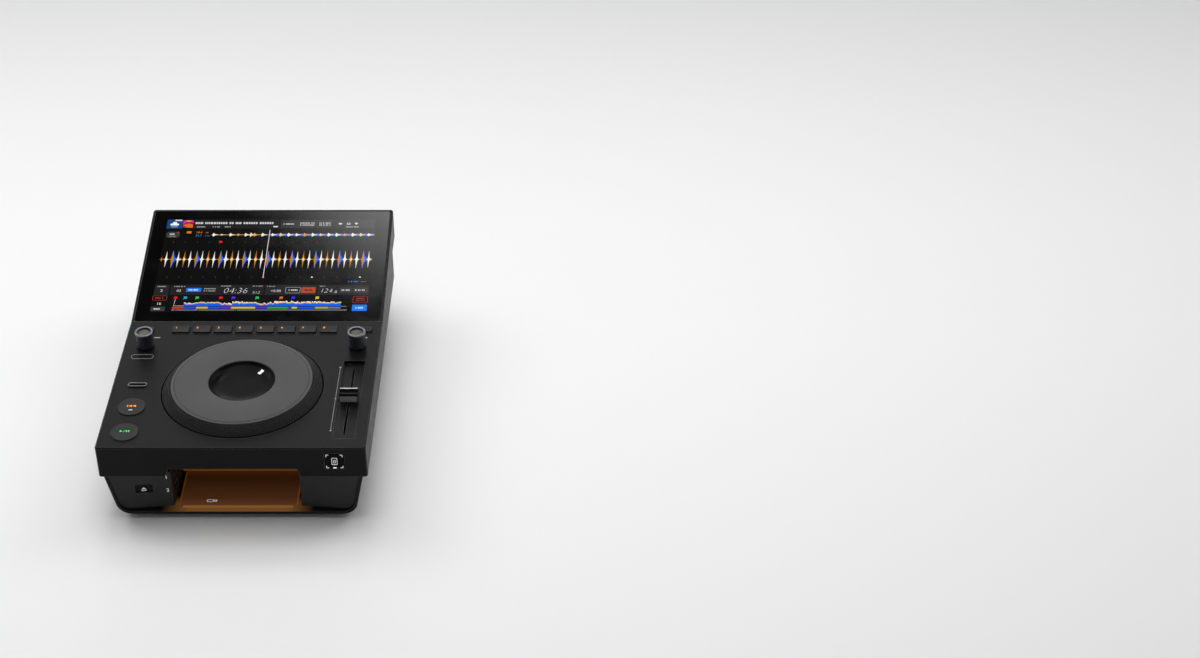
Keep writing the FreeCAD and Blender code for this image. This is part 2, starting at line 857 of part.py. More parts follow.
def supply_posts():
    """Places of the posts under the power supply."""
    left = "supply_left + supply_post_margin"
    right = "supply_right - supply_post_margin"
    near = "base_inner_back - supply_length + supply_post_front_margin"
    far = "base_inner_back - supply_post_rear_margin"
    return [(left, near), (right, near), (left, far), (right, far)]


def feet():
    """Four rubber feet with a bevelled lower edge."""
    profile = [("0", "0"), ("foot_radius - foot_bevel", "0"), ("foot_radius", "foot_bevel"),
               ("foot_radius", "foot_height"), ("0", "foot_height")]
    side = "half_width - foot_from_side"
    ends = ("front + foot_from_end", "base_back - foot_from_end")
    discs = [spun("foot", profile, (f"{sign} * ({side})", end, "0")) for sign in (-1, 1)
             for end in ends]
    keep(group(*discs), "feet")


def case_screws():
    """Screws that go up through the base into the bosses of the upper case."""
    screws = []
    for x, y in SCREWS:
        shank = rod("screw_radius", ("split - screw_web - screw_head_height / 2",
                                     "split + screw_bite - screw_end_gap"), x, y)
        head = rod("screw_head_radius", ("split - screw_web - screw_head_height", "split - screw_web"),
                   x, y)
        screws.append(fuse(shank, head))
    keep(group(*screws), "case_screws")


# Media bay

def front_block(side, label):
    """Hollow block beside the bay, with a face that recedes toward it; side is -1 or 1."""
    body = new_body(f"{label}_shell")
    edge = f"{side} * bay_half"
    low = f"{side} * ({DERIVED['block_bottom_half']})"
    high = f"{side} * ({DERIVED['block_top_half']})"
    section = [(edge, "block_floor"), (low, "block_floor"), (high, "split"), (edge, "split")]
    add_prism(body, "XZ", section, ("front", "block_back"))
    dress(body, "Fillet", "inner_corner - block_fit", runs("y", z="block_floor", x=low))
    beyond = f"{side} * (block_top_half + 2)"
    take_prism(body, "XY", [(beyond, "front - 1"), (edge, "front - 1"),
                            (edge, "front + block_recess"), (beyond, "front + block_front_inset")],
               ("block_floor - 1", "split + 1"))
    dress(body, "Fillet", "block_edge", runs("z", x=edge, y="front + block_recess"))
    wall = "block_wall"
    inner = [(f"{side} * (bay_half + {wall})", f"block_floor + {wall}"),
             (f"{side} * (block_bottom_half - {wall} - block_side_extra)", f"block_floor + {wall}"),
             (f"{side} * (block_top_half - {wall} - block_side_extra)", f"split - {wall}"),
             (f"{side} * (bay_half + {wall})", f"split - {wall}")]
    take_prism(body, "XZ", inner, (f"front + block_recess + {wall}", "block_back + 1"))
    return body


def eject_place(item, depth):
    """Carry an object drawn flat at the origin onto the left block's slanted face."""
    run = number("block_top_half + 2 - bay_half")
    fall = number("block_recess - block_front_inset")
    lean = Rotation(Vector(run, fall, 0), Vector(1, 0, 0)).inverted()
    share = number("(block_top_half + 2 - eject_from_middle)") / run
    place = Vector(-number("eject_from_middle"), number("front + block_front_inset") + share * fall,
                   number("eject_height"))
    inward = lean.multVec(Vector(0, 1, 0))
    stand = Rotation(Vector(1, 0, 0), -90)
    item.Placement = Placement(place + inward * number(depth), lean * stand)
    return item


def front_blocks():
    """Left block with the sockets and the eject button, right block plain."""
    left = front_block(-1, "left_block")
    slots = [block(("-bay_half - block_wall - 1", "-bay_half + 1"),
                   around("front + usb_from_front", "usb_width + 2 * usb_fit"),
                   around(f"usb_low_height + {level} * usb_pitch", "usb_height + 2 * usb_fit"))
             for level in (0, 1)]
    hole = rounded_plate("eject_hole", between("eject_width / 2 + button_fit"),
                         between("eject_tall / 2 + button_fit"), ("0", "block_recess + block_wall + 2"),
                         "button_edge + button_fit")
    eject_place(hole, "-2")
    room = rounded_plate("eject_room", between("eject_width / 2 + button_flange + eject_room"),
                         between("eject_tall / 2 + button_flange + eject_room"),
                         ("0", "block_recess + eject_room_depth"), "button_edge + button_fit")
    eject_place(room, "block_wall")
    keep(cut(left, *slots, hole, room), "front_block_left")
    keep(front_block(1, "right_block"), "front_block_right")


def eject_button():
    """Sunk button in the left block, with a flange behind the wall."""
    body = new_body("eject_cap")
    front_face = "eject_sink"
    flange_front = "block_wall + button_seat_gap"
    add_block(body, between("eject_width / 2"), between("eject_tall / 2"),
              (front_face, f"{flange_front} + 0.1"))
    dress(body, "Fillet", "button_edge", runs("z"))
    add_block(body, between("eject_width / 2 + button_flange"),
              between("eject_tall / 2 + button_flange"),
              (flange_front, f"{flange_front} + button_flange_sheet"))
    eject_place(body, "0")
    keep(body, "eject_button")


def usb_ports():
    """Two upright-walled sockets behind the bay's left wall, each with its tongue."""
    for level, label in enumerate(("usb_port_2", "usb_port_1")):
        height = f"usb_low_height + {level} * usb_pitch"
        mouth = "-bay_half - usb_sink"
        far = f"{mouth} - usb_depth"
        middle = "front + usb_from_front"
        outer = block((far, mouth), around(middle, "usb_width"), around(height, "usb_height"))
        room = block((f"{far} + 2 * usb_shell", f"{mouth} + 1"),
                     around(middle, "usb_width - 2 * usb_shell"),
                     around(height, "usb_height - 2 * usb_shell"))
        tongue = block((f"{far} + usb_shell", f"{mouth} - usb_tongue_drop"),
                       around(middle, "usb_width - 2 * usb_tongue_margin"),
                       (height, f"{height} + usb_tongue"))
        keep(fuse(cut(outer, room), tongue), label)


def bay_liner():
    """Roof and back wall of the bay; the roof's sides lean as the notch does."""
    hood = new_body("bay_hood")
    wall = "liner_wall"
    wide = f"bay_half + notch_slant + {wall}"
    add_prism(hood, "XZ", [(f"-({wide})", "split"), (f"-(bay_half + {wall})", f"notch_top + {wall}"),
                           (f"bay_half + {wall}", f"notch_top + {wall}"), (wide, "split")],
              ("front + case_wall + liner_gap", f"bay_back + {wall}"))
    take_prism(hood, "XZ", notch_outline("split - 1"), ("front", "bay_back"))
    back = block(between("bay_half - block_fit"), ("bay_back", f"bay_back + {wall}"),
                 ("floor_top", "split + 1"))
    keep(fuse(hood, back), "bay_liner")


def bay_floor():
    """Lit floor plate with rounded corners, and the light bars at its front and back edges."""
    base = ("floor_top", "floor_top + plate_thickness")
    plate_front = "front + plate_from_front"
    plate_back = f"{plate_front} + plate_length"
    keep(rounded_plate("plate", between("plate_width / 2"), (plate_front, plate_back), base,
                       "plate_corner"), "bay_floor_plate")
    front_bar = f"{plate_front} - light_bar_gap"
    back_bar = f"{plate_back} + light_bar_gap"
    height = ("floor_top", "floor_top + light_bar_height")
    bars = [block(between("plate_width / 2 - plate_corner"), along, height)
            for along in ((f"{front_bar} - light_bar_width", front_bar),
                          (back_bar, f"{back_bar} + light_bar_width"))]
    keep(group(*bars), "bay_light_bars")


def reader_window():
    """Glossy window of the touch reader, flush with the fascia."""
    plate = rounded_plate("reader", between("reader_size / 2"), between("reader_size / 2"),
                          ("0", "reader_thickness"), "reader_corner")
    keep(on_fascia(plate, "front"), "reader_window")


# Display

def display_housing():
    """Wedge behind the fold that holds the screen and hangs over the back."""
    wedge = new_body("display_wedge")
    start = "fold + display_seam"
    start_top = "panel_height + display_seam * tan(display_tilt)"
    add_prism(wedge, "YZ", [(start, "display_seat"), (start, start_top), ("rear", "display_top"),
                            ("rear", "display_seat")], between("half_width"))
    dress(wedge, "Fillet", "case_corner", runs("z", y="rear"))
    dress(wedge, "Chamfer", "case_chamfer", runs("x", y="rear", z="display_top"))
    recess = on_slope(rounded_plate("glass_recess", between("half_width - glass_border + panel_fit"),
                                    ("glass_start - panel_fit", "glass_start + glass_length + panel_fit"),
                                    ("-glass_thickness", "2"), "glass_corner + panel_fit"))
    window = new_body("lcd_window")
    add_block(window, between("lcd_half + panel_fit"),
              ("lcd_start - panel_fit", "lcd_start + lcd_length + panel_fit"), ("-14", "2"))
    on_slope(window)
    depth = "(ledge_depth / cos(display_tilt))"
    room_start = "fold + display_room_start"
    room_end = "rear - case_wall"
    slope_at = "panel_height + ({0} - fold) * tan(display_tilt) - " + depth
    cavity = new_body("display_room")
    seat_end = "case_back - display_rear_seat"
    add_prism(cavity, "YZ", [(room_start, "display_seat - 1"),
                             (room_start, slope_at.format(f"({room_start})")),
                             (room_end, slope_at.format(f"({room_end})")),
                             (room_end, "display_seat + case_wall"),
                             (seat_end, "display_seat + case_wall"), (seat_end, "display_seat - 1")],
              between("half_width - case_wall"))
    keep(cut(wedge, recess, window, cavity), "display_housing")


def screen():
    """Cover glass, display panel behind it and the pressed tray that holds the panel up."""
    glass = rounded_plate("cover", between("half_width - glass_border"),
                          ("glass_start", "glass_start + glass_length"), ("-glass_thickness", "0"),
                          "glass_corner")
    keep(on_slope(glass), "screen_glass")
    panel = new_body("panel")
    add_block(panel, between("lcd_half"), ("lcd_start", "lcd_start + lcd_length"),
              ("-ledge_depth", "-glass_thickness"))
    keep(on_slope(panel), "display_panel")
    tray = new_body("tray")
    add_block(tray, between("lcd_half + tray_lap"),
              ("lcd_start + tray_front_gap", "lcd_start + lcd_length + tray_lap"),
              ("-ledge_depth - tray_sheet", "-ledge_depth"))
    keep(on_slope(tray), "display_tray")


# Jog wheel

def jog_wheel():
    """Skirt, deck, drum and hub of the wheel, turned from one outline."""
    plate_seat = "jog_rise - jog_plate_thickness"
    deck_under = f"{plate_seat} - jog_web"
    drum_out = "dish_radius + dish_fit + drum_wall"
    web_top = "jog_rise - dish_depth - dish_wall - dish_fit - 0.2"
    web_under = f"{web_top} - jog_web"
    hub_out = "bearing_radius + hub_wall"
    skirt_in = "jog_radius - jog_skirt_wall"
    flange = "jog_radius + jog_flange"
    low = "-jog_skirt_depth"
    hub_low = "-bearing_drop - bearing_height"
    profile = [
        ("bearing_radius", hub_low), (hub_out, hub_low), (hub_out, web_under),
        ("dish_radius", web_under), ("dish_radius", "-drum_depth"), (drum_out, "-drum_depth"),
        (drum_out, deck_under), ("jog_plate_radius - jog_skirt_wall", deck_under), (skirt_in, low),
        (flange, low), (flange, f"{low} + jog_flange_thickness"),
        ("jog_radius", f"{low} + jog_flange_thickness"), ("jog_radius", "0"),
        ("jog_plate_radius + 0.4", "jog_rise - jog_plate_drop - 0.7"),
        ("jog_plate_radius", plate_seat), ("dish_radius + dish_fit", plate_seat),
        ("dish_radius + dish_fit", web_top), ("bearing_radius - 2", web_top),
        ("bearing_radius - 2", "-bearing_drop"), ("bearing_radius", "-bearing_drop"),
    ]
    keep(spun("wheel", profile, ("0", "jog_y", "panel_height")), "jog_wheel")


def jog_trim():
    """Top plate with its lowered rim, and the centre dish."""
    seat = "jog_rise - jog_plate_thickness"
    rim = "jog_rise - jog_plate_drop"
    plate = [("dish_radius", seat), ("jog_plate_radius", seat), ("jog_plate_radius", f"{rim} - 0.3"),
             ("jog_plate_radius - 0.3", rim), ("jog_plate_radius - jog_plate_step", rim),
             ("jog_plate_radius - jog_plate_step - 0.3", "jog_rise"), ("dish_radius + 0.5", "jog_rise"),
             ("dish_radius", "jog_rise - 0.5")]
    keep(spun("plate", plate, ("0", "jog_y", "panel_height")), "jog_top_plate")
    floor = "jog_rise - dish_depth"
    under = f"{floor} - dish_wall"
    lip = "dish_radius - dish_fit"
    dish = [("0", under), (lip, under), (lip, "jog_rise - 0.8"), (f"{lip} - 0.8", "jog_rise - 0.8"),
            ("dish_floor_radius + 2.2", f"{floor} + 1.2"), ("dish_floor_radius", floor), ("0", floor)]
    keep(spun("dish", dish, ("0", "jog_y", "panel_height")), "jog_dish")


def jog_bearing():
    """Ball bearing in the hub, shown as its two rings and shields in one."""
    low = "-bearing_drop - bearing_height"
    bore = "spindle_radius + shaft_fit"
    rim = "bearing_radius - shaft_fit"
    ring = [(bore, low), (rim, low), (rim, "-bearing_drop"), (bore, "-bearing_drop")]
    keep(spun("bearing", ring, ("0", "jog_y", "panel_height")), "jog_bearing")


def jog_encoder_disc():
    """Thin disc under the drum with a ring of slots for the sensor."""
    hole = "dish_radius - encoder_disc_lap"
    under = "-drum_depth - encoder_disc_sheet"
    disc = spun("slotless_disc", [(hole, under), ("encoder_disc_radius", under),
                                  ("encoder_disc_radius", "-drum_depth"), (hole, "-drum_depth")],
                ("0", "jog_y", "panel_height"))
    tools = []
    count = int(number("encoder_slots"))
    outer = "encoder_disc_radius - encoder_slot_margin"
    for index in range(count):
        slot = block((f"{outer} - encoder_slot_length", outer), between("encoder_slot_width / 2"),
                     ("panel_height - drum_depth - 2", "panel_height - drum_depth + 1"))
        for axis in "xyz":
            slot.setExpression(f"Placement.Base.{axis}", None)
        turn = Rotation(Vector(0, 0, 1), 360.0 * index / count)
        corner = Vector(number(f"{outer} - encoder_slot_length"), -number("encoder_slot_width / 2"),
                        number("panel_height - drum_depth - 2"))
        slot.Placement = Placement(Vector(0, number("jog_y"), 0) + turn.multVec(corner), turn)
        tools.append(slot)
    keep(cut(disc, *tools), "jog_encoder_disc")


ARM_ANGLES = (30, 150, 270)


def jog_support():
    """Three-armed bracket with posts up to the panel, the spindle on it and the sensor fork."""
    low = "panel_height - mount_drop"
    arms = []
    posts = []
    for angle in ARM_ANGLES:
        arm = doc.addObject("Part::Box", "arm")
        bind(arm, "Length", "mount_post_reach")
        bind(arm, "Width", "mount_arm_width")
        bind(arm, "Height", "mount_sheet")
        turn = Rotation(Vector(0, 0, 1), angle)
        corner = turn.multVec(Vector(0, -number("mount_arm_width / 2"), 0))
        arm.Placement = Placement(corner + Vector(0, number("jog_y"), number(low)), turn)
        arms.append(arm)
        reach = turn.multVec(Vector(number("mount_post_reach"), 0, 0))
        posts.append(rod("mount_post_radius", (low, "under_panel"), reach.x, reach.y + number("jog_y")))
        arms.append(rod("mount_post_radius + mount_pad", (low, "mount_top"),
                        reach.x, reach.y + number("jog_y")))
    plate = rod("mount_plate_radius", (low, "mount_top"), "0", "jog_y")
    keep(fuse(plate, *arms, *posts), "jog_mount")

    wide = "spindle_radius + spindle_flange"
    thick = "spindle_radius + spindle_shoulder"
    seat = "mount_drop - mount_sheet - bearing_drop - bearing_height - spindle_shoulder_gap"
    tip = "mount_drop - mount_sheet - bearing_drop - spindle_end_gap"
    shaft = [("0", "0"), (wide, "0"), (wide, "spindle_flange_sheet"), (thick, "spindle_flange_sheet"),
             (thick, seat), ("spindle_radius", seat), ("spindle_radius", tip), ("0", tip)]
    keep(spun("shaft", shaft, ("0", "jog_y", "mount_top")), "jog_spindle")

    disc_low = "panel_height - drum_depth - encoder_disc_sheet"
    inner = "jog_y + encoder_disc_radius - sensor_reach"
    outer = "jog_y + encoder_disc_radius + sensor_back"
    fork = block(between("sensor_width / 2"), (inner, outer),
                 ("mount_top", "panel_height - drum_depth + sensor_gap + sensor_jaw"))
    mouth = block(between("sensor_width / 2 + 1"), (f"{inner} - 1", f"{outer} - sensor_spine"),
                  (f"{disc_low} - sensor_gap", "panel_height - drum_depth + sensor_gap"))
    keep(cut(fork, mouth), "jog_sensor")


# Panel controls

def rectangular_button(name):
    """Cap, flange under the panel and stem of one rectangular or pill-shaped button."""
    middle, back, width, length, rise, corner = RECTANGLE_BUTTONS[name]
    centre = f"front + {back}"
    flange_top = "under_panel - button_seat_gap"
    flange_low = f"{flange_top} - button_flange_sheet"
    body = new_body(f"{name}_cap")
    add_block(body, around(middle, width), around(centre, length), (flange_low, f"panel_height + {rise}"))
    dress(body, "Fillet", corner, runs("z"))
    dress(body, "Chamfer", "button_edge", level_edges(f"panel_height + {rise}"))
    add_block(body, around(middle, f"{width} + 2 * button_flange"),
              around(centre, f"{length} + 2 * button_flange"), (flange_low, flange_top))
    add_block(body, around(middle, "stem_size"), around(centre, "stem_size"),
              (f"{flange_low} - stem_reach", flange_low))
    keep(body, name)


def level_edges(height):
    """Edge test: both ends at one height."""
    level = number(height)
    return lambda a, b: abs(a.z - level) + abs(b.z - level) < 1e-4


def round_button(name):
    """Turned cap with a softened rim, flange and stem."""
    flange_top = "-case_wall - button_seat_gap"
    flange_low = f"{flange_top} - button_flange_sheet"
    profile = [
        ("0", f"{flange_low} - stem_reach"), ("stem_size / 2", f"{flange_low} - stem_reach"),
        ("stem_size / 2", flange_low), ("round_button_radius + button_flange", flange_low),
        ("round_button_radius + button_flange", flange_top), ("round_button_radius", flange_top),
        ("round_button_radius", "round_button_rise - 2 * button_edge"),
        ("round_button_radius - button_edge / 2", "round_button_rise - button_edge / 2"),
        ("round_button_radius - 2 * button_edge", "round_button_rise"), ("0", "round_button_rise"),
    ]
    place = ("-button_column", f"front + {ROUND_BUTTONS[name]}", "panel_height")
    keep(spun(f"{name}_cap", profile, place), name)


def knob(name):
    """Rotary knob with its metal ring, shaft and rotor. Gives back the encoder's housing."""
    place = (KNOBS[name], "front + knob_from_front", "panel_height")
    x, y, z = place
    ring_low = "knob_height - ring_height"
    pit = "knob_height - pit_depth"
    inner = "ring_radius - ring_width"
    bore_top = "knob_height - knob_top_wall"
    cap = [("shaft_radius", "knob_lift"), ("knob_radius", "knob_lift"),
           ("knob_radius", "knob_lift + knob_skirt"), ("knob_waist", "knob_lift + knob_flare"),
           ("knob_waist", f"{ring_low} - knob_skirt"), ("knob_radius", ring_low), (inner, ring_low),
           (inner, pit), ("0", pit), ("0", bore_top), ("shaft_radius", bore_top)]
    keep(spun(f"{name}_cap", cap, place), f"{name}_knob")
    ring = [(f"{inner}", ring_low), ("knob_radius", ring_low), ("ring_radius", f"{ring_low} + 0.5"),
            ("ring_radius", "knob_height - 0.6"), ("ring_radius - 0.7", "knob_height"),
            (f"{inner} + 0.7", "knob_height"), (f"{inner}", "knob_height - 0.6")]
    keep(spun(f"{name}_trim", ring, place), f"{name}_knob_ring")

    shaft_low = "board_top + encoder_wall + knob_press + shaft_end_gap"
    body_top = "-case_wall - encoder_drop"
    keep(rod("shaft_radius", (shaft_low, f"panel_height + {bore_top}"), x, y), f"{name}_shaft")
    rotor_top = f"{body_top} - encoder_wall - rotor_gap"
    rotor = [("shaft_radius + shaft_fit", f"{rotor_top} - rotor_height"),
             ("rotor_radius", f"{rotor_top} - rotor_height"), ("rotor_radius", rotor_top),
             ("shaft_radius + shaft_fit", rotor_top)]
    keep(spun(f"{name}_ring", rotor, place), f"{name}_rotor")
    housing = block(around(x, "encoder_body"), around(y, "encoder_body"),
                    ("board_top", f"panel_height + {body_top}"))
    bush = rod("bush_radius",
               (f"panel_height + {body_top} - encoder_wall / 2", "panel_height + bush_rise"), x, y)
    bore = rod("shaft_radius + shaft_fit", ("board_top + encoder_wall", "panel_height + 1"), x, y)
    room = rod("rotor_radius + shaft_fit",
               ("board_top + encoder_wall", f"panel_height + {body_top} - encoder_wall"), x, y)
    return cut(fuse(housing, bush), bore, room)


def tempo_fader():
    """Metal frame with the carriage in it, and the cap on the carriage's blade."""
    x = "tempo_from_middle"
    top = "trough_underside"
    low = f"{top} - fader_depth"
    half_run = "tempo_travel + carriage_length / 2"
    ends = f"{half_run} + carriage_fit + fader_end"
    outer = block(around(x, "fader_width"), (f"tempo_y - ({ends})", f"tempo_y + ({ends})"), (low, top))
    room = block(around(x, "fader_width - 2 * fader_wall"),
                 (f"tempo_y - ({half_run}) - carriage_fit", f"tempo_y + ({half_run}) + carriage_fit"),
                 (f"{low} + fader_wall", f"{top} - fader_wall"))
    slot = block(around(x, "slot_width"),
                 around("tempo_y", "2 * tempo_travel + stem_length + 2 * slot_spare"),
                 (f"{top} - fader_wall - 1", f"{top} + 1"))
    keep(cut(outer, room, slot), "tempo_fader_frame")

    rail = f"{low} + fader_wall + carriage_fit"
    slider = block(around(x, "fader_width - 2 * fader_wall - 2 * carriage_fit"),
                   around("tempo_y", "carriage_length"), (rail, f"{rail} + carriage_height"))
    blade = block(around(x, "stem_blade"), around("tempo_y", "stem_length"),
                  (f"{rail} + carriage_height - 1", "blade_top"))
    keep(fuse(slider, blade), "tempo_carriage")

    cap = new_body("fader_cap")
    near = "tempo_y - cap_length / 2"
    far = "tempo_y + cap_length / 2"
    base = "panel_height + cap_lift"
    crest = "panel_height + cap_height"
    front_crest = f"{crest} - cap_front_drop"
    dip = f"{crest} - cap_valley"
    add_prism(cap, "YZ", [
        (near, base), (far, base), (f"{far} - cap_rear_lean", crest), (f"{far} - cap_ridge", crest),
        ("tempo_y + cap_dip_half", dip), ("tempo_y - cap_dip_half", dip),
        (f"{near} + cap_front_lean + cap_ridge - cap_rear_lean", front_crest),
        (f"{near} + cap_front_lean", front_crest)], around(x, "cap_width"))
    seat = block(around(x, "stem_blade + 2 * blade_fit"),
                 around("tempo_y", "stem_length + 2 * blade_fit"), ("panel_height", "blade_top"))
    keep(cut(cap, seat), "tempo_cap")


# Electronics

def switch_board():
    """C-shaped board under the panel, with a switch below each button."""
    low = "board_top - board_sheet"
    left_out, right_out = between("half_width - case_wall - switch_board_edge")
    left_in, right_in = between("switch_board_gap / 2")
    rear_out = "fold - case_wall - board_rear_gap"
    rear_in = "front + switch_board_rear_strip"
    left_start = "front + switch_board_start"
    right_start = "front + switch_board_right_start"
    corners = [(left_out, left_start), (left_in, left_start), (left_in, rear_in), (right_in, rear_in),
               (right_in, right_start), (right_out, right_start), (right_out, rear_out),
               (left_out, rear_out)]
    board = new_body("board")
    add_prism(board, "XY", corners, (low, "board_top"))
    places = [(middle, f"front + {back}") for middle, back, *rest in RECTANGLE_BUTTONS.values()]
    places += [("-button_column", f"front + {back}") for back in ROUND_BUTTONS.values()]
    switches = [block(around(px, "switch_size"), around(py, "switch_size"),
                      ("board_top - board_sheet / 2", "switch_top")) for px, py in places]
    ways = [rod("boss_radius + board_way", (f"{low} - 1", "board_top + 1"), x, y) for x, y in SCREWS[:2]]
    keep(cut(fuse(board, *switches), *ways), "switch_board")


def main_board():
    """Board on the base's posts, with its shielded processor, a row of capacitors and a header."""
    across = ("-main_board_left", "main_board_right")
    along = ("front + main_board_front", "base_inner_back - rear_sheet - board_rear_gap")
    board = block(across, along, ("main_board_bottom", "main_board_top"))
    root = "main_board_top - board_sheet / 2"
    shield = block(around("-shield_from_middle", "shield_width"),
                   around("front + shield_from_front", "shield_length"),
                   (root, "main_board_top + shield_height"))
    header = block(around("-header_from_middle", "header_width"),
                   around("front + header_from_front", "header_length"),
                   (root, "main_board_top + header_height"))
    cans = [rod("can_radius", (root, "main_board_top + can_height"), f"{step} * can_pitch",
                "front + can_from_front") for step in (1, 2, 3)]
    holes = [rod("boss_radius + board_way", ("main_board_bottom - 1", "main_board_top + 1"), x, y)
             for x, y in SCREWS]
    keep(cut(fuse(board, shield, header, *cans), *holes), "main_board")


def power_supply():
    """Small mains supply on its own board beside the main board."""
    along = ("base_inner_back - supply_length", "base_inner_back - inlet_depth - supply_inlet_gap")
    board = block(("supply_left", "supply_right"), along, ("main_board_bottom", "main_board_top"))
    root = "main_board_top - board_sheet / 2"
    top = "main_board_top + supply_height"
    coil = block(around("(supply_left + supply_right) / 2", "coil_width"),
                 around("base_inner_back - coil_from_rear", "coil_length"), (root, top))
    can = rod("supply_can_radius", (root, f"{top} - supply_can_drop"), "supply_left + supply_can_margin",
              "base_inner_back - supply_can_from_rear")
    sink = block(("supply_right - fin_margin - fin_sheet", "supply_right - fin_margin"),
                 around("base_inner_back - fin_from_rear", "fin_length"), (root, f"{top} - fin_drop"))
    keep(fuse(board, coil, can, sink), "power_supply")


# Rear panel and its connectors

def barrel_middles():
    """X of the three audio barrels."""
    return [f"-audio_from_middle + {index} * barrel_pitch" for index in (-1, 0, 1)]


def rear_panel():
    """Sheet behind the base's rear opening, cut out for every connector."""
    face = ("base_inner_back - rear_sheet", "base_inner_back")
    plate = block(between("rear_opening_half + rear_lap"), face,
                  ("rear_opening_low - rear_lap", "rear_opening_high + rear_lap"))
    through = ("base_inner_back - rear_sheet - 1", "base_inner_back + 1")
    tools = [rod("barrel_shoulder + jack_fit", through, x, "main_board_top + barrel_lift", "Y")
             for x in barrel_middles()]
    for x, width, height in (("-network_from_middle", "network_width", "network_height"),
                             ("-link_from_middle", "link_width", "link_height")):
        tools.append(block(around(x, f"{width} + 2 * jack_fit"), through,
                           ("main_board_top - jack_fit", f"main_board_top + {height} + jack_fit")))
    less = "2 * (inlet_flange - jack_fit)"
    tools.append(block(around("inlet_from_middle", f"inlet_width - {less}"), through,
                       around("inlet_centre_height", f"inlet_height - {less}")))
    tools.append(rod("power_radius + button_fit", through, "power_from_middle", "power_height", "Y"))
    keep(cut(plate, *tools), "rear_panel")


def audio_jacks():
    """Row of three phono sockets on one moulded body."""
    back = "base_inner_back - rear_sheet - audio_body_gap"
    height = "main_board_top + barrel_lift"
    moulding = block(around("-audio_from_middle", "3 * barrel_pitch"),
                     (f"{back} - audio_body_depth", back),
                     ("main_board_top", f"{height} + barrel_radius + audio_body_wall"))
    barrels = [rod(radius, (f"{back} - 1", end), x, height, "Y") for x in barrel_middles()
               for radius, end in (("barrel_shoulder", "base_inner_back"),
                                   ("barrel_radius", "base_inner_back + barrel_length"))]
    bores = [rod("barrel_bore", (f"{back} - audio_body_depth / 2", "base_inner_back + barrel_length + 1"),
                 x, height, "Y") for x in barrel_middles()]
    keep(cut(fuse(moulding, *barrels), *bores), "audio_jacks")


def box_jack(label, kind):
    """Rectangular socket on the main board, flush with the rear panel's outer face."""
    x, width, height, depth, wall = (f"{sign}{kind}_{size}" for sign, size in (
        ("-", "from_middle"), ("", "width"), ("", "height"), ("", "depth"), ("", "wall")))
    mouth = "base_inner_back"
    outer = block(around(x, width), (f"{mouth} - {depth}", mouth),
                  ("main_board_top", f"main_board_top + {height}"))
    room = block(around(x, f"{width} - 2 * {wall}"), (f"{mouth} - {depth} + jack_back", f"{mouth} + 1"),
                 (f"main_board_top + {wall}", f"main_board_top + {height} - {wall}"))
    socket = cut(outer, room)
    if kind == "link":
        tongue = block(around(x, "link_tongue_width"),
                       (f"{mouth} - {depth} + jack_back / 2", f"{mouth} - link_tongue_drop"),
                       around(f"main_board_top + {height} / 2", "link_tongue_height"))
        socket = fuse(socket, tongue)
    keep(socket, label)


def power_inlet():
    """Three-pin mains inlet with its flange in the rear opening."""
    x = "inlet_from_middle"
    z = "inlet_centre_height"
    flange = block(around(x, "inlet_width"), ("base_inner_back", "base_inner_back + inlet_flange"),
                   around(z, "inlet_height"))
    housing = block(around(x, "inlet_width - 2 * inlet_flange"),
                    ("base_inner_back - inlet_depth", "base_inner_back + inlet_flange / 2"),
                    around(z, "inlet_height - 2 * inlet_flange"))
    floor = "base_inner_back - inlet_depth + inlet_floor"
    room = block(around(x, "inlet_cavity_width"), (floor, "base_inner_back + inlet_flange + 1"),
                 around(z, "inlet_cavity_height"))
    pins = []
    for side, rise in ((-1, "-pin_drop"), (0, "earth_pin_rise"), (1, "-pin_drop")):
        pins.append(block(around(f"{x} + {side} * pin_pitch", "pin_width"),
                          (f"{floor} - 1", "base_inner_back - pin_end_drop"),
                          around(f"{z} + {rise}", "pin_tall")))
    keep(fuse(cut(fuse(flange, housing), room), *pins), "power_inlet")


def power_button():
    """Round push button beside the inlet, held behind the rear panel by its flange."""
    face = "-(rear_sheet + button_seat_gap)"
    flange_back = f"{face} - button_flange_sheet"
    stem_end = f"{flange_back} - power_stem"
    rise = "power_stroke + power_proud"
    profile = [("0", stem_end), ("stem_size / 2", stem_end), ("stem_size / 2", flange_back),
               ("power_radius + button_flange", flange_back), ("power_radius + button_flange", face),
               ("power_radius", face), ("power_radius", f"{rise} - power_edge"),
               ("power_radius - power_edge", rise), ("0", rise)]
    keep(spun("power_cap", profile, ("power_from_middle", "base_inner_back", "power_height"), "Y"),
         "power_button")


def build():
    """Make every piece of the player."""
    fill_sheet()
    upper_case()
    lower_case()
    feet()
    case_screws()
    front_blocks()
    eject_button()
    usb_ports()
    bay_liner()
    bay_floor()
    reader_window()
    display_housing()
    screen()
    jog_wheel()
    jog_trim()
    jog_bearing()
    jog_encoder_disc()
    jog_support()
    for name in RECTANGLE_BUTTONS:
        rectangular_button(name)
    for name in ROUND_BUTTONS:
        round_button(name)
    keep(group(*[knob(name) for name in KNOBS]), "knob_encoders")
    tempo_fader()
    switch_board()
    main_board()
    power_supply()
    rear_panel()
    audio_jacks()
    box_jack("network_jack", "network")
    box_jack("link_jack", "link")
    power_inlet()
    power_button()


def export():
    """Check every object and every piece, then write one file for each piece."""
    doc.recompute()
    broken = [item.Label for item in doc.Objects if "Invalid" in item.State or "Error" in item.State]
    if broken:
        raise RuntimeError(f"objects that failed: {broken}")
    for piece in pieces:
        if piece.Shape.isNull() or not piece.Shape.isValid() or not piece.Shape.Solids:
            raise RuntimeError(f"{piece.Label} isn't a valid solid")
    os.makedirs("parts", exist_ok=True)
    for piece in pieces:
        piece.Shape.exportStep(f"parts/{piece.Label}.step")
    print(f"{len(pieces)} pieces written")


build()
export()
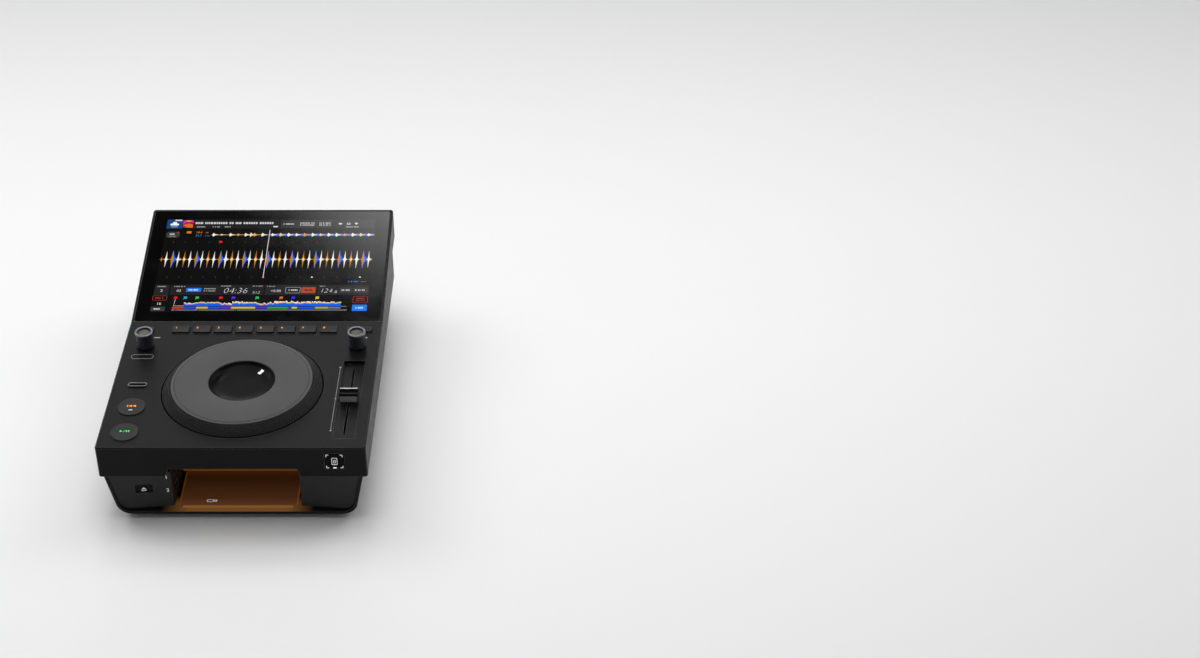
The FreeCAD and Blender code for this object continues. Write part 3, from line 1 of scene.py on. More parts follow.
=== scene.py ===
# The finished look of a tabletop media player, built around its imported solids.
# Lengths are in millimetres and become metres where a mesh is made. The origin is on the table
# under the middle of the player: X to the right, Y to the back, Z up.
import math

import bpy
import numpy as np
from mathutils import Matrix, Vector


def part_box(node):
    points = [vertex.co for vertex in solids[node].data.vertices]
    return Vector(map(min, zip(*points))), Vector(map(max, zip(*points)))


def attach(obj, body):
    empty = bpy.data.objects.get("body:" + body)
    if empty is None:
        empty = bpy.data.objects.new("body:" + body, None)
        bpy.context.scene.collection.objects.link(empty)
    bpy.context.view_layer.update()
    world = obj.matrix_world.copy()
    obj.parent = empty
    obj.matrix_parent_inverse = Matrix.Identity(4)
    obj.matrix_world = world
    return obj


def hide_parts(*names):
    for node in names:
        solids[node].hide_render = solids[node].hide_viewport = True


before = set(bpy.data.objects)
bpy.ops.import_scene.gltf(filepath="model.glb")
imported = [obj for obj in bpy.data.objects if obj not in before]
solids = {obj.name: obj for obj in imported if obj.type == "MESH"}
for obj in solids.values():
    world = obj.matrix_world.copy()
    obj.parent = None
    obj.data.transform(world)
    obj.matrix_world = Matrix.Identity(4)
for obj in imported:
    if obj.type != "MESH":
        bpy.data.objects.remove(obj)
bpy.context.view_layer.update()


# Lower case: one deep tapered moulding in dark satin plastic that carries everything else. Its
# open front shows as a thin rim round the bay and the two front blocks.

def start(name):
    """New material. Gives the material, its node tree and its main shader."""
    material = bpy.data.materials.new(name)
    material.use_nodes = True
    return material, material.node_tree, material.node_tree.nodes["Principled BSDF"]


def add(tree, kind, inputs, **settings):
    """Node of one kind. Its inputs are values to set or sockets to link."""
    made = tree.nodes.new(kind)
    for key, value in settings.items():
        setattr(made, key, value)
    for key, value in inputs.items():
        if isinstance(value, bpy.types.NodeSocket):
            tree.links.new(value, made.inputs[key])
        else:
            made.inputs[key].default_value = value
    return made


def place_of(tree):
    """The point being shaded, in the player's own frame."""
    return add(tree, "ShaderNodeTexCoord", {}).outputs["Object"]


def speckle(tree, size, detail=3.0, spread=0.55):
    """Noise from 0 to 1 whose spots are about size millimetres across."""
    return add(tree, "ShaderNodeTexNoise", {"Vector": place_of(tree), "Scale": 1000 / size,
                                            "Detail": detail, "Roughness": spread}).outputs["Fac"]


def ramp(tree, value, *stops):
    """Colour that runs through the stops, each a position from 0 to 1 and a colour."""
    made = add(tree, "ShaderNodeValToRGB", {"Fac": value})
    stretch = made.color_ramp.elements
    while len(stretch) < len(stops):
        stretch.new(0.5)
    for stop, (position, colour) in zip(stretch, stops):
        stop.position = position
        stop.color = (*colour[:3], 1)
    return made.outputs["Color"]


def spread_over(tree, value, low, high, start_at=0.0, end_at=1.0):
    """Straight line from low to high while value goes from start_at to end_at, held at the ends."""
    return add(tree, "ShaderNodeMapRange", {"Value": value, "From Min": start_at, "From Max": end_at,
                                            "To Min": low, "To Max": high}).outputs["Result"]


def tint(code, level=1.0):
    """Linear colour of a written one such as 2b2b2b, times a level."""
    parts = np.array([int(code[i:i + 2], 16) for i in (0, 2, 4)]) / 255
    return tuple(np.where(parts < 0.04045, parts / 12.92, ((parts + 0.055) / 1.055) ** 2.4) * level)


def moulded(name, colour, roughness, grain=0.35, depth=0.012, mottle=0.10, edge=0.35, shine=0.12, wear_and_highlight=0.01):
    """Moulded plastic: a fine spark-eroded grain, slow changes of tone and gloss, and edges that are
    softened and painted lighter where the surface turns, partly wear and partly a painted highlight."""
    material, tree, shader = start(name)
    soft = add(tree, "ShaderNodeBevel", {"Radius": edge / 1000}, samples=4)
    flat = add(tree, "ShaderNodeNewGeometry", {}).outputs["Normal"]
    turn = add(tree, "ShaderNodeVectorMath", {0: soft.outputs["Normal"], 1: flat}, operation="DOT_PRODUCT")
    # painted highlight: where the surface turns, the colour goes toward a lighter one, which stands for wear and for
    # light caught on the edge
    wear_and_highlight_share = spread_over(tree, turn.outputs["Value"], 0.8, 0.0, 0.86, 0.995)
    tone = ramp(tree, speckle(tree, 38, 4), (0.3, np.array(colour) * (1 - mottle)),
                (0.7, np.array(colour) * (1 + mottle)))
    surface_colour = add(tree, "ShaderNodeMix", {0: wear_and_highlight_share, 6: tone, 7: (*(np.array(colour) * 2.2 + wear_and_highlight), 1)},
               data_type="RGBA")
    grains = add(tree, "ShaderNodeBump", {"Height": speckle(tree, grain, 2), "Distance": depth / 1000,
                                          "Strength": 1.0, "Normal": soft.outputs["Normal"]})
    tree.links.new(surface_colour.outputs[2], shader.inputs["Base Color"])
    tree.links.new(spread_over(tree, speckle(tree, 9, 3), roughness - 0.05, roughness + 0.06, 0.3, 0.7),
                   shader.inputs["Roughness"])
    tree.links.new(grains.outputs["Normal"], shader.inputs["Normal"])
    shader.inputs["Specular IOR Level"].default_value = shine
    return material


def dress(material, *names):
    """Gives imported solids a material."""
    for name in names:
        for holder in solids[name].material_slots:
            holder.material = material


def lit_sill(material):
    """Paints the bay's amber light onto a plastic as a glow: full on the sill in front of the lit plate, and gone
    70 mm to each side, 10 mm up and behind the front edge."""
    tree = material.node_tree
    shader = tree.nodes["Principled BSDF"]
    part = add(tree, "ShaderNodeSeparateXYZ", {"Vector": place_of(tree)}).outputs
    aside = add(tree, "ShaderNodeMath", {0: part["X"]}, operation="ABSOLUTE").outputs["Value"]
    glow = spread_over(tree, aside, 1, 0, 0.046, 0.072)
    for fade in (spread_over(tree, part["Z"], 1, 0, 0.0082, 0.011), spread_over(tree, part["Z"], 0, 1, 0.0074, 0.0079),
                 spread_over(tree, part["Y"], 1, 0, -0.170, -0.160)):
        glow = add(tree, "ShaderNodeMath", {0: glow, 1: fade}, operation="MULTIPLY").outputs["Value"]
    tree.links.new(ramp(tree, glow, (0.0, (0, 0, 0)), (1.0, tint("68441f"))), shader.inputs["Emission Color"])
    shader.inputs["Emission Strength"].default_value = 1.0
    return material


dress(lit_sill(moulded("base_plastic", tint("1c1c1c"), 0.55, edge=0.6, wear_and_highlight=0.05)), "lower_case")


# Feet: four turned rubber discs pressed into the floor of the lower case, with a worn, dusty
# underside and two shallow rings for grip. The case screws go in beside them.

MM = 0.001


def add_piece(name, parts, materials, body, replaces=(), sharp=32.0, of_part=None):
    """Makes one finished piece out of parts, each its points in millimetres and its faces. Where
    of_part is given it names the material of each part."""
    points, faces, owner = [], [], []
    count = 0
    for number, (part_points, part_faces) in enumerate(parts):
        points.append(np.asarray(part_points, float))
        faces += [[corner + count for corner in face] for face in part_faces]
        owner += [of_part[number] if of_part else 0] * len(part_faces)
        count += len(part_points)
    mesh = bpy.data.meshes.new(name)
    mesh.from_pydata((np.concatenate(points) * MM).tolist(), [], faces)
    for material in materials:
        mesh.materials.append(material)
    mesh.polygons.foreach_set("material_index", owner)
    mesh.polygons.foreach_set("use_smooth", [True] * len(faces))
    mesh.set_sharp_from_angle(angle=math.radians(sharp))
    mesh.update()
    piece = bpy.data.objects.new(name, mesh)
    bpy.context.scene.collection.objects.link(piece)
    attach(piece, body)
    if replaces:
        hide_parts(*replaces)
    return piece


def skin(grid, ring=False):
    """Faces over rows of points whose columns close on themselves. The rows close too on a ring, and
    otherwise the first and last row are each filled by one face."""
    rows, columns = grid.shape[:2]
    index = np.arange(rows * columns).reshape(rows, columns)
    low = index if ring else index[:-1]
    high = np.roll(index, -1, 0) if ring else index[1:]
    faces = np.stack([low, np.roll(low, -1, 1), np.roll(high, -1, 1), high], -1).reshape(-1, 4).tolist()
    if not ring:
        faces += [index[0][::-1].tolist(), index[-1].tolist()]
    return grid.reshape(-1, 3), faces


def soft_corners(path, radius, steps=3, closed=True):
    """Rounds the corners of a flat path. Each becomes the quadratic curve (1-t)^2 a + 2t(1-t) p + t^2 b
    between the points a and b on its two sides, radius from the corner p or 0.45 of a shorter side."""
    path = np.asarray(path, float)
    back = np.roll(path, 1, 0) - path
    ahead = np.roll(path, -1, 0) - path
    ends = []
    for side in (back, ahead):
        length = np.maximum(np.linalg.norm(side, axis=1, keepdims=True), 1e-9)
        ends.append(path + side * np.minimum(radius / length, 0.45))
    t = np.linspace(0, 1, steps + 1)[None, :, None]
    curves = (1 - t) ** 2 * ends[0][:, None] + 2 * t * (1 - t) * path[:, None] + t ** 2 * ends[1][:, None]
    if closed:
        return curves.reshape(-1, 2)
    return np.concatenate([path[:1], curves[1:-1].reshape(-1, 2), path[-1:]])


def lathe(profile, centre, columns=96, ring=False, axis="Z", ripple=None):
    """Turned solid. A profile point (r, h) goes round the axis to (r cos a, r sin a, h), and r may
    take a ripple that depends on h and a. Profiles run outward at the bottom and up the outside."""
    profile = np.asarray(profile, float)
    angle = np.linspace(0, 2 * np.pi, columns, endpoint=False)[None]
    height = np.repeat(profile[:, 1:2], columns, 1)
    radius = profile[:, :1] + (ripple(height, angle) if ripple else 0 * angle)
    across, along = radius * np.cos(angle), radius * np.sin(angle)
    grid = {"Z": (across, along, height), "Y": (-across, height, along)}[axis]
    return skin(np.stack(grid, -1) + np.asarray(centre, float), ring)


def rubber(name, colour):
    """Dull rubber: fine pitted surface with lighter dust in its low places."""
    material, tree, shader = start(name)
    pits = speckle(tree, 0.8, 4)
    bumps = add(tree, "ShaderNodeBump", {"Height": pits, "Distance": 0.00005, "Strength": 0.8})
    tree.links.new(ramp(tree, speckle(tree, 12), (0.35, colour), (0.75, np.array(colour) * 1.9)),
                   shader.inputs["Base Color"])
    tree.links.new(spread_over(tree, pits, 0.68, 0.9), shader.inputs["Roughness"])
    tree.links.new(bumps.outputs["Normal"], shader.inputs["Normal"])
    return material


FOOT_RADIUS = 9.0
FOOT_HEIGHT = 4.0
foot = soft_corners([(0.6, 0.5), (3.2, 0.5), (3.6, 0.05), (5.4, 0.05), (5.8, 0.5), (6.6, 0.5), (7.0, 0.0),
                     (8.0, 0.0), (FOOT_RADIUS, 1.0), (FOOT_RADIUS, FOOT_HEIGHT), (0.6, FOOT_HEIGHT)],
                    0.3, closed=False)
add_piece("rubber_feet", [lathe(foot, (x, y, 0), 64) for x in (-91.5, 91.5) for y in (-158, 124)],
          [rubber("foot_rubber", tint("232323"))], "case", ["feet"])


def sheet_metal(name, colour, roughness, scratch=0.25):
    """Plated sheet or turned metal: long fine scratches along X and cloudy changes of gloss."""
    material, tree, shader = start(name)
    drawn = add(tree, "ShaderNodeMapping", {"Vector": place_of(tree), "Scale": (40, 1600, 1600)})
    lines = add(tree, "ShaderNodeTexNoise", {"Vector": drawn.outputs["Vector"], "Scale": 1.0, "Detail": 3.0})
    tree.links.new(ramp(tree, lines.outputs["Fac"], (0.25, np.array(colour) * 0.86), (0.8, colour)),
                   shader.inputs["Base Color"])
    tree.links.new(spread_over(tree, speckle(tree, 6), roughness - 0.07, roughness + 0.1, 0.3, 0.7),
                   shader.inputs["Roughness"])
    bumps = add(tree, "ShaderNodeBump", {"Height": lines.outputs["Fac"], "Distance": 0.000006,
                                         "Strength": scratch})
    tree.links.new(bumps.outputs["Normal"], shader.inputs["Normal"])
    shader.inputs["Metallic"].default_value = 1.0
    return material


zinc = sheet_metal("zinc_plate", (0.56, 0.57, 0.58), 0.36)
dress(zinc, "case_screws")


# Inside: the power supply, main and switch boards with their parts, the pressed display tray, the
# jog's bracket and sensor, and the knobs' encoders. All stand on posts of the two cases.

def circuit_board(name, mask):
    """Board under solder mask: straight tracks between tinned pads, under a thin clear gloss."""
    material, tree, shader = start(name)
    here = place_of(tree)
    wide = add(tree, "ShaderNodeTexBrick", {"Vector": here, "Scale": 150.0, "Mortar Size": 0.10,
                                            "Color1": (0, 0, 0, 1), "Color2": (0.3, 0.3, 0.3, 1),
                                            "Mortar": (1, 1, 1, 1)})
    pads = add(tree, "ShaderNodeTexVoronoi", {"Vector": here, "Scale": 260.0, "Randomness": 0.6})
    tracks = ramp(tree, wide.outputs["Color"], (0.0, mask), (1.0, np.array(mask) * 2.6 + 0.01))
    tin = spread_over(tree, pads.outputs["Distance"], 1.0, 0.0, 0.20, 0.24)
    both = add(tree, "ShaderNodeMix", {0: tin, 6: tracks, 7: (0.55, 0.54, 0.50, 1)}, data_type="RGBA")
    bumps = add(tree, "ShaderNodeBump", {"Height": wide.outputs["Fac"], "Distance": 0.00004, "Strength": 0.7})
    tree.links.new(both.outputs[2], shader.inputs["Base Color"])
    tree.links.new(tin, shader.inputs["Metallic"])
    tree.links.new(bumps.outputs["Normal"], shader.inputs["Normal"])
    shader.inputs["Roughness"].default_value = 0.32
    shader.inputs["Coat Weight"].default_value = 0.4
    return material


dress(circuit_board("board_mask", tint("0f3d24")), "main_board", "power_supply", "switch_board")
dress(zinc, "display_tray", "jog_mount", "knob_encoders", "tempo_carriage")
sensor_plastic = moulded("sensor_plastic", tint("1b1b1c"), 0.42, edge=0.2)
dress(sensor_plastic, "jog_sensor", "tempo_fader_frame", "loop_rotor", "browse_rotor", "jog_encoder_disc")


# Bay: a vacuum-formed liner round a frosted plate that is lit from its front and back edges. The
# amber light fades along the plate; where it catches the walls, the roof and the rim of the case it is painted on them
# as a glow.

BAY_FRONT = -0.182
BAY_BACK = -0.122
PLATE_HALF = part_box("bay_floor_plate")[1][0] / MM


def lit_amber(name, own, stops, start_at=BAY_FRONT, end_at=BAY_BACK, level=1.0, roughness=0.45, rim_from=0.0):
    """Frosted plastic that glows; on the liner the glow is painted light for what the plate and bars throw on it.
    The glow's colour runs through the stops from the bay's front to its back, with a fine cloudiness in it."""
    material, tree, shader = start(name)
    along = add(tree, "ShaderNodeSeparateXYZ", {"Vector": place_of(tree)}).outputs["Y"]
    cloud = spread_over(tree, speckle(tree, 5, 4), -0.035, 0.035)
    reach = add(tree, "ShaderNodeMath", {0: spread_over(tree, along, 0, 1, start_at, end_at), 1: cloud},
                operation="ADD")
    glow = ramp(tree, reach.outputs["Value"], *stops)
    if rim_from:
        aside = add(tree, "ShaderNodeMath", {0: add(tree, "ShaderNodeSeparateXYZ", {"Vector": place_of(tree)}).outputs["X"]},
                    operation="ABSOLUTE").outputs["Value"]
        rim = spread_over(tree, aside, 0, 0.45, rim_from * MM, (rim_from + 1.6) * MM)
        glow = add(tree, "ShaderNodeMix", {0: rim, 6: glow, 7: (*tint("7a4614"), 1)}, data_type="RGBA").outputs[2]
    tree.links.new(glow, shader.inputs["Emission Color"])
    shader.inputs["Emission Strength"].default_value = level
    frost = speckle(tree, 0.5, 2)
    tree.links.new(ramp(tree, frost, (0.3, np.array(own) * 0.85), (0.7, own)), shader.inputs["Base Color"])
    bumps = add(tree, "ShaderNodeBump", {"Height": frost, "Distance": 0.00001, "Strength": 0.8})
    tree.links.new(bumps.outputs["Normal"], shader.inputs["Normal"])
    shader.inputs["Roughness"].default_value = roughness
    return material


dress(lit_amber("floor_amber", tint("2c1a10"),
                [(0.0, tint("573621")), (0.3, tint("3b2110")), (0.8, tint("1e0d03")), (0.96, tint("301705"))],
                rim_from=PLATE_HALF - 1.6), "bay_floor_plate")
# painted light: the liner gives no light itself, and its amber glow, brighter at the front and the back, stands for the
# bars' light on its walls and roof
dress(lit_amber("liner_amber", tint("22170f"),
                [(0.0, tint("2c1808")), (0.5, tint("1a0d05")), (0.93, tint("2a1405")), (1.0, tint("5a3008"))]),
      "bay_liner")
dress(lit_amber("bar_amber", tint("8a5a20"),
                [(0.0, tint("704a22")), (0.5, tint("6a4214")), (1.0, tint("5c3604"))]),
      "bay_light_bars")


# Print: thin ink films lifted a hair off the surface they are printed on. Each shape is a closed
# flat solid, so that it keeps its outline from every side.

INK = 0.03


def prism(outline, low=-INK, high=INK):
    """Flat solid between two heights over an outline, which may run either way round."""
    outline = np.asarray(outline, float)
    if np.sum(outline[:, 0] * np.roll(outline[:, 1], -1) - np.roll(outline[:, 0], -1) * outline[:, 1]) < 0:
        outline = outline[::-1]
    rows = [np.c_[outline, np.full(len(outline), height)] for height in (low, high)]
    return skin(np.stack(rows))


def box_outline(left, low, right, high):
    """Corners of an upright rectangle."""
    return [(left, low), (right, low), (right, high), (left, high)]


def plate_outline(width, length, radius, steps=6):
    """Rectangle about zero with round corners: each corner is a quarter circle about its centre."""
    turn = np.linspace(0, np.pi / 2, steps + 1)
    corners = []
    for quarter, (side, end) in enumerate(((1, 1), (-1, 1), (-1, -1), (1, -1))):
        angle = turn + quarter * np.pi / 2
        corners.append(np.c_[side * (width / 2 - radius) + radius * np.cos(angle),
                             end * (length / 2 - radius) + radius * np.sin(angle)])
    return np.concatenate(corners)


def band(outer, inner, low=-INK, high=INK):
    """Flat ring between two outlines with as many points each."""
    rows = [np.c_[line, np.full(len(line), height)]
            for line, height in ((inner, low), (outer, low), (outer, high), (inner, high))]
    return skin(np.stack(rows), ring=True)


def stroke(path, width, low=-INK, high=INK):
    """Open line of one width: the path moved half the width to each side, along the mean normal."""
    path = np.asarray(path, float)
    run = np.gradient(path, axis=0)
    normal = np.c_[-run[:, 1], run[:, 0]] / np.linalg.norm(run, axis=1, keepdims=True) * width / 2
    return prism(np.concatenate([path - normal, (path + normal)[::-1]]), low, high)


def shifted(part, across, along, up=0.0):
    """Part moved in its own plane before it is placed."""
    return np.asarray(part[0]) + (across, along, up), part[1]


def placed(part, origin, right, ahead):
    """Part laid in a plane through origin: its three coordinates go along right, ahead and their
    cross product, so a shape drawn facing up faces out of the plane."""
    right, ahead = np.asarray(right, float), np.asarray(ahead, float)
    axes = np.stack([right, ahead, np.cross(right, ahead)])
    return np.asarray(part[0]) @ axes + np.asarray(origin, float), part[1]


def figures(text, size, thinner=0.0, lean=0.0):
    """Plain numerals as thin solids: the built-in outline letters, drawn in by thinner, leaning over,
    filled and given the ink's height."""
    curve = bpy.data.curves.new("figures", "FONT")
    curve.body, curve.size, curve.extrude = text, size, INK
    curve.resolution_u = 3
    curve.offset, curve.shear = -thinner, lean
    curve.align_x = curve.align_y = "CENTER"
    holder = bpy.data.objects.new("figures", curve)
    bpy.context.scene.collection.objects.link(holder)
    mesh = bpy.data.meshes.new_from_object(holder.evaluated_get(bpy.context.evaluated_depsgraph_get()))
    points = np.empty(len(mesh.vertices) * 3)
    mesh.vertices.foreach_get("co", points)
    faces = [list(face.vertices) for face in mesh.polygons]
    bpy.data.objects.remove(holder)
    bpy.data.curves.remove(curve)
    bpy.data.meshes.remove(mesh)
    return points.reshape(-1, 3), faces


def ink(name, colour, glow=0.0):
    """Pad-printed ink: slightly uneven cover, which glows where glow is given: over a lit symbol, and as painted light
    on some plain prints.
    """
    material, tree, shader = start(name)
    cover = ramp(tree, speckle(tree, 0.25, 3), (0.25, np.array(colour) * 0.82), (0.6, colour))
    tree.links.new(cover, shader.inputs["Base Color"])
    if glow:
        tree.links.new(cover, shader.inputs["Emission Color"])
        shader.inputs["Emission Strength"].default_value = glow
    shader.inputs["Roughness"].default_value = 0.55
    return material


white_ink = ink("white_ink", tint("f6f6f6"))
grey_ink = ink("grey_ink", tint("b4b4b4"))

FRONT = -182.0
PANEL = 84.0
PLATE_TOP = 10.0


def stick_symbol():
    """Memory stick seen from above: a round-cornered case and a narrower shell with two slots."""
    case = band(plate_outline(6.4, 3.6, 0.9), plate_outline(5.5, 2.7, 0.5))
    shell = band(plate_outline(3.0, 2.6, 0.3), plate_outline(2.2, 1.8, 0.15))
    slots = [shifted(prism(plate_outline(0.7, 0.5, 0.1)), 3.7, across) for across in (-0.5, 0.5)]
    return [shifted(case, -1.6, 0), shifted(shell, 3.3, 0)] + slots


add_piece("bay_symbol", [placed(part, (-25.5, FRONT + 13.0, PLATE_TOP), (1, 0, 0), (0, 1, 0))
                         for part in stick_symbol()], [ink("lit_white", tint("f2f2f2"), 0.6)], "case")


# Media sockets: folded steel shells round a black tongue with four gilt contacts each, set one above
# the other in the left wall of the bay.

def inside(tree, low, high):
    """1 inside a box given in millimetres and 0 outside it."""
    parts = add(tree, "ShaderNodeSeparateXYZ", {"Vector": place_of(tree)})
    result = None
    for axis, least, most in zip("XYZ", low, high):
        middle, half = (least + most) / 2000, (most - least) / 2000
        near = add(tree, "ShaderNodeMath", {0: parts.outputs[axis], 1: middle, 2: half}, operation="COMPARE")
        result = near.outputs["Value"] if result is None else add(
            tree, "ShaderNodeMath", {0: result, 1: near.outputs["Value"]}, operation="MULTIPLY").outputs["Value"]
    return result


def shell_and_core(name, shell, core, boxes, roughness=0.3):
    """Bright metal that turns into dull plastic inside the given boxes."""
    material, tree, shader = start(name)
    mask = None
    for low, high in boxes:
        one = inside(tree, low, high)
        mask = one if mask is None else add(tree, "ShaderNodeMath", {0: mask, 1: one},
                                            operation="MAXIMUM").outputs["Value"]
    surface_colour = ramp(tree, speckle(tree, 1.2, 4), (0.3, np.array(shell) * 0.85), (0.7, shell))
    both = add(tree, "ShaderNodeMix", {0: mask, 6: surface_colour, 7: (*core, 1)}, data_type="RGBA")
    tree.links.new(both.outputs[2], shader.inputs["Base Color"])
    tree.links.new(spread_over(tree, mask, 1.0, 0.0), shader.inputs["Metallic"])
    tree.links.new(spread_over(tree, mask, roughness, 0.5), shader.inputs["Roughness"])
    return material


SOCKET_Y = -158.0
socket_steel = shell_and_core("socket_shell", (0.62, 0.62, 0.64), (0.012, 0.012, 0.013),
                           [((-74.0, -164.0, z - 1.0), (-61.3, -152.0, z + 1.0)) for z in (39.5, 24.0)])
dress(socket_steel, "usb_port_1", "usb_port_2")
gilt = sheet_metal("gilt", (0.85, 0.62, 0.26), 0.25)
for number, height in ((1, 39.5), (2, 24.0)):
    strips = [placed(prism(soft_corners(box_outline(-0.55, -5.0, 0.55, 4.6), 0.2), 0, 0.12),
                     (-67.3, SOCKET_Y + across, height - 0.9), (0, 1, 0), (1, 0, 0))
              for across in (-3.5, -1.1, 1.1, 3.5)]
    add_piece(f"socket_contacts_{number}", strips, [gilt], "case")


# Front blocks: two hollow mouldings beside the bay whose faces slant in toward it. The left one
# carries the eject button and the sockets' numbers, printed in white.

block_plastic = moulded("block_plastic", tint("313131"), 0.55)
dress(block_plastic, "front_block_left", "front_block_right")
button_plastic = moulded("button_plastic", tint("191919"), 0.48, edge=0.35, shine=0.2, wear_and_highlight=0.04)
dress(moulded("eject_plastic", tint("0d0d0d"), 0.5, edge=0.25), "eject_button")

BAY_HALF = 60.0
BLOCK_RUN = 59.8
BLOCK_FALL = 6.6
BLOCK_DEPTH = 7.4
slant = np.array([BLOCK_RUN, BLOCK_FALL, 0]) / math.hypot(BLOCK_RUN, BLOCK_FALL)


def on_block(part, x, z, up=0.0):
    """Part laid on the left block's slanted face, with its middle at x and z."""
    y = FRONT + BLOCK_DEPTH - (-BAY_HALF - x) * BLOCK_FALL / BLOCK_RUN
    outward = np.cross(slant, (0, 0, 1))
    return placed(part, np.array([x, y, z]) + outward * up, slant, (0, 0, 1))


eject_symbol = [prism([(-2.5, -0.4), (2.5, -0.4), (0, 2.4)]), prism(box_outline(-2.5, -2.1, 2.5, -1.2))]
# the numerals are printed, not lit: the glow in their ink is painted light that makes them brighter
add_piece("socket_numbers", [on_block(figures(text, 5.4), -64.4, z) for text, z in (("1", 43.5), ("2", 28.0))],
          [ink("numeral_white", tint("f6f6f6"), 0.3)], "case")


# Upper case: panel, fascia, sides and trough in one injection moulding, in black satin plastic. It
# is screwed to the lower case from below, and everything on the panel hangs from it.

# its lighter edges are mostly a painted highlight along the front edge chamfer, with a little wear
case_plastic = moulded("case_plastic", tint("111111"), 0.38, edge=0.9, shine=0.09, wear_and_highlight=0.12)
dress(case_plastic, "upper_case")


def on_panel(part, x, back, up=0.0):
    """Part laid on the panel at x, and at a distance back from the front edge."""
    return shifted(part, x, FRONT + back, PANEL + up)


TEMPO_X = 103.6
SCALE_X = 90.6
scale_dot = prism(plate_outline(1.7, 1.7, 0.84))
marks = [shifted(stroke([(SCALE_X, FRONT + 26.5), (SCALE_X, FRONT + 125.2)], 0.22), 0, 0, PANEL)]
marks += [on_panel(scale_dot, SCALE_X, back) for back in (26.5, 75.5, 125.2)]
marks += [on_panel(prism(box_outline(-0.6, -0.14, 0.6, 0.14)), SCALE_X, back)
          for back in np.linspace(26.5, 125.2, 33)[1:-1]]
add_piece("tempo_scale", marks, [grey_ink], "case")

pill = band(plate_outline(21.8, 7.1, 3.5), plate_outline(21.1, 6.4, 3.15))
panel_marks = [on_panel(pill, -104.5, 143.0), on_panel(prism(box_outline(-3.0, -0.6, 3.0, 0.6)), -95.0, 174.6),
               on_panel(prism(plate_outline(1.9, 1.9, 0.94)), 111.7, 174.6)]
add_piece("panel_marks", panel_marks, [grey_ink], "case")


# Reader window: a glossy black acrylic square let into the fascia, printed from behind with four
# corner brackets and a plain card symbol, and lit by a small oval lamp.

def glossy(name, colour, roughness, shine=0.25):
    """Polished black plastic or glass: almost even, with faint smears in its gloss."""
    material, tree, shader = start(name)
    smear = speckle(tree, 30, 5, 0.65)
    tree.links.new(ramp(tree, smear, (0.3, colour), (0.8, np.array(colour) * 1.25)), shader.inputs["Base Color"])
    tree.links.new(spread_over(tree, smear, roughness * 0.7, roughness * 1.6, 0.3, 0.75),
                   shader.inputs["Roughness"])
    shader.inputs["Specular IOR Level"].default_value = shine
    return material


READER = (95.7, 68.3)
dress(glossy("window_acrylic", tint("020202"), 0.10, 0.06), "reader_window")


def on_fascia(part, x, z):
    """Part laid on the front face, seen from the front."""
    return placed(part, (x, FRONT, z), (1, 0, 0), (0, 0, 1))


def brackets(half, arm, width):
    """Four corner brackets of a square."""
    found = []
    for side, end in ((1, 1), (-1, 1), (-1, -1), (1, -1)):
        path = [(side * (half - arm), end * half), (side * half, end * half), (side * half, end * (half - arm))]
        found.append(stroke(soft_corners(path, 0.5, closed=False), width))
    return found


card = [band(plate_outline(5.4, 8.2, 1.0), plate_outline(4.4, 7.2, 0.6)),
        band(plate_outline(2.4, 3.0, 0.5), plate_outline(1.5, 2.1, 0.3)), prism(plate_outline(1.6, 0.5, 0.2))]
card[2] = shifted(card[2], 0, -2.9)
add_piece("reader_marks", [on_fascia(part, *READER) for part in brackets(7.6, 2.4, 0.65) + card],
          [ink("backlit_white", tint("f2f2f2"), 0.3)], "case")
add_piece("reader_lamp", [on_fascia(shifted(prism(plate_outline(3.4, 1.0, 0.48)), 0, -7.6), *READER)],
          [ink("lamp_white", tint("f2f2f2"), 0.9)], "case")


# Display: a wedge-shaped housing in the case's plastic, with one sheet of black cover glass bonded
# in it. The picture behind the glass is drawn as lit areas a hair above it, so the glass keeps its
# gloss. Names and words are left as plain bars.

dress(case_plastic, "display_housing")
dress(glossy("cover_glass", tint("020202"), 0.08, 0.22), "screen_glass")
dress(glossy("panel_backing", tint("15151a"), 0.35), "display_panel")

FOLD = 20.0
TILT = math.radians(10.2)
GLASS_SLOPE = (0, math.cos(TILT), math.sin(TILT))
LAYER = 0.012
lit = []


def light(part, colour, layer=1, level=1.0):
    """Adds one lit area of the picture. Layers lie over each other."""
    points = np.asarray(part[0], float)
    flat = points[:, 2] > points[:, 2].mean()
    points = np.c_[points[:, :2], LAYER * (layer + flat)]
    lit.append((placed((points, part[1]), (0, FOLD, PANEL), (1, 0, 0), GLASS_SLOPE), tint(colour, level)))


def area(left, low, right, high, colour, layer=1, radius=0.0, level=1.0):
    """Lit rectangle, with round corners where it has a radius."""
    outline = plate_outline(right - left, high - low, radius, 3) + ((left + right) / 2, (low + high) / 2) \
        if radius else box_outline(left, low, right, high)
    light(prism(outline), colour, layer, level)


def frame_line(left, low, right, high, colour, layer=2, width=0.35, radius=0.8):
    """Lit outline of a rounded rectangle."""
    outer = plate_outline(right - left, high - low, radius, 3)
    inner = plate_outline(right - left - 2 * width, high - low - 2 * width, max(radius - width, 0.1), 3)
    light(shifted(band(outer, inner), (left + right) / 2, (low + high) / 2), colour, layer)


def words(left, middle, right, height, colour, layer=3, seed=0):
    """Row of small bars of uneven length where a line of words would be."""
    chance = np.random.RandomState(seed)
    at = left
    while at < right - height * 0.5:
        size = min(height * chance.uniform(0.45, 0.95), right - at)
        area(at, middle - height / 2, at + size, middle + height / 2, colour, layer, min(0.15, height / 4))
        at += size + height * (0.22 if chance.uniform() < 0.75 else 0.75)


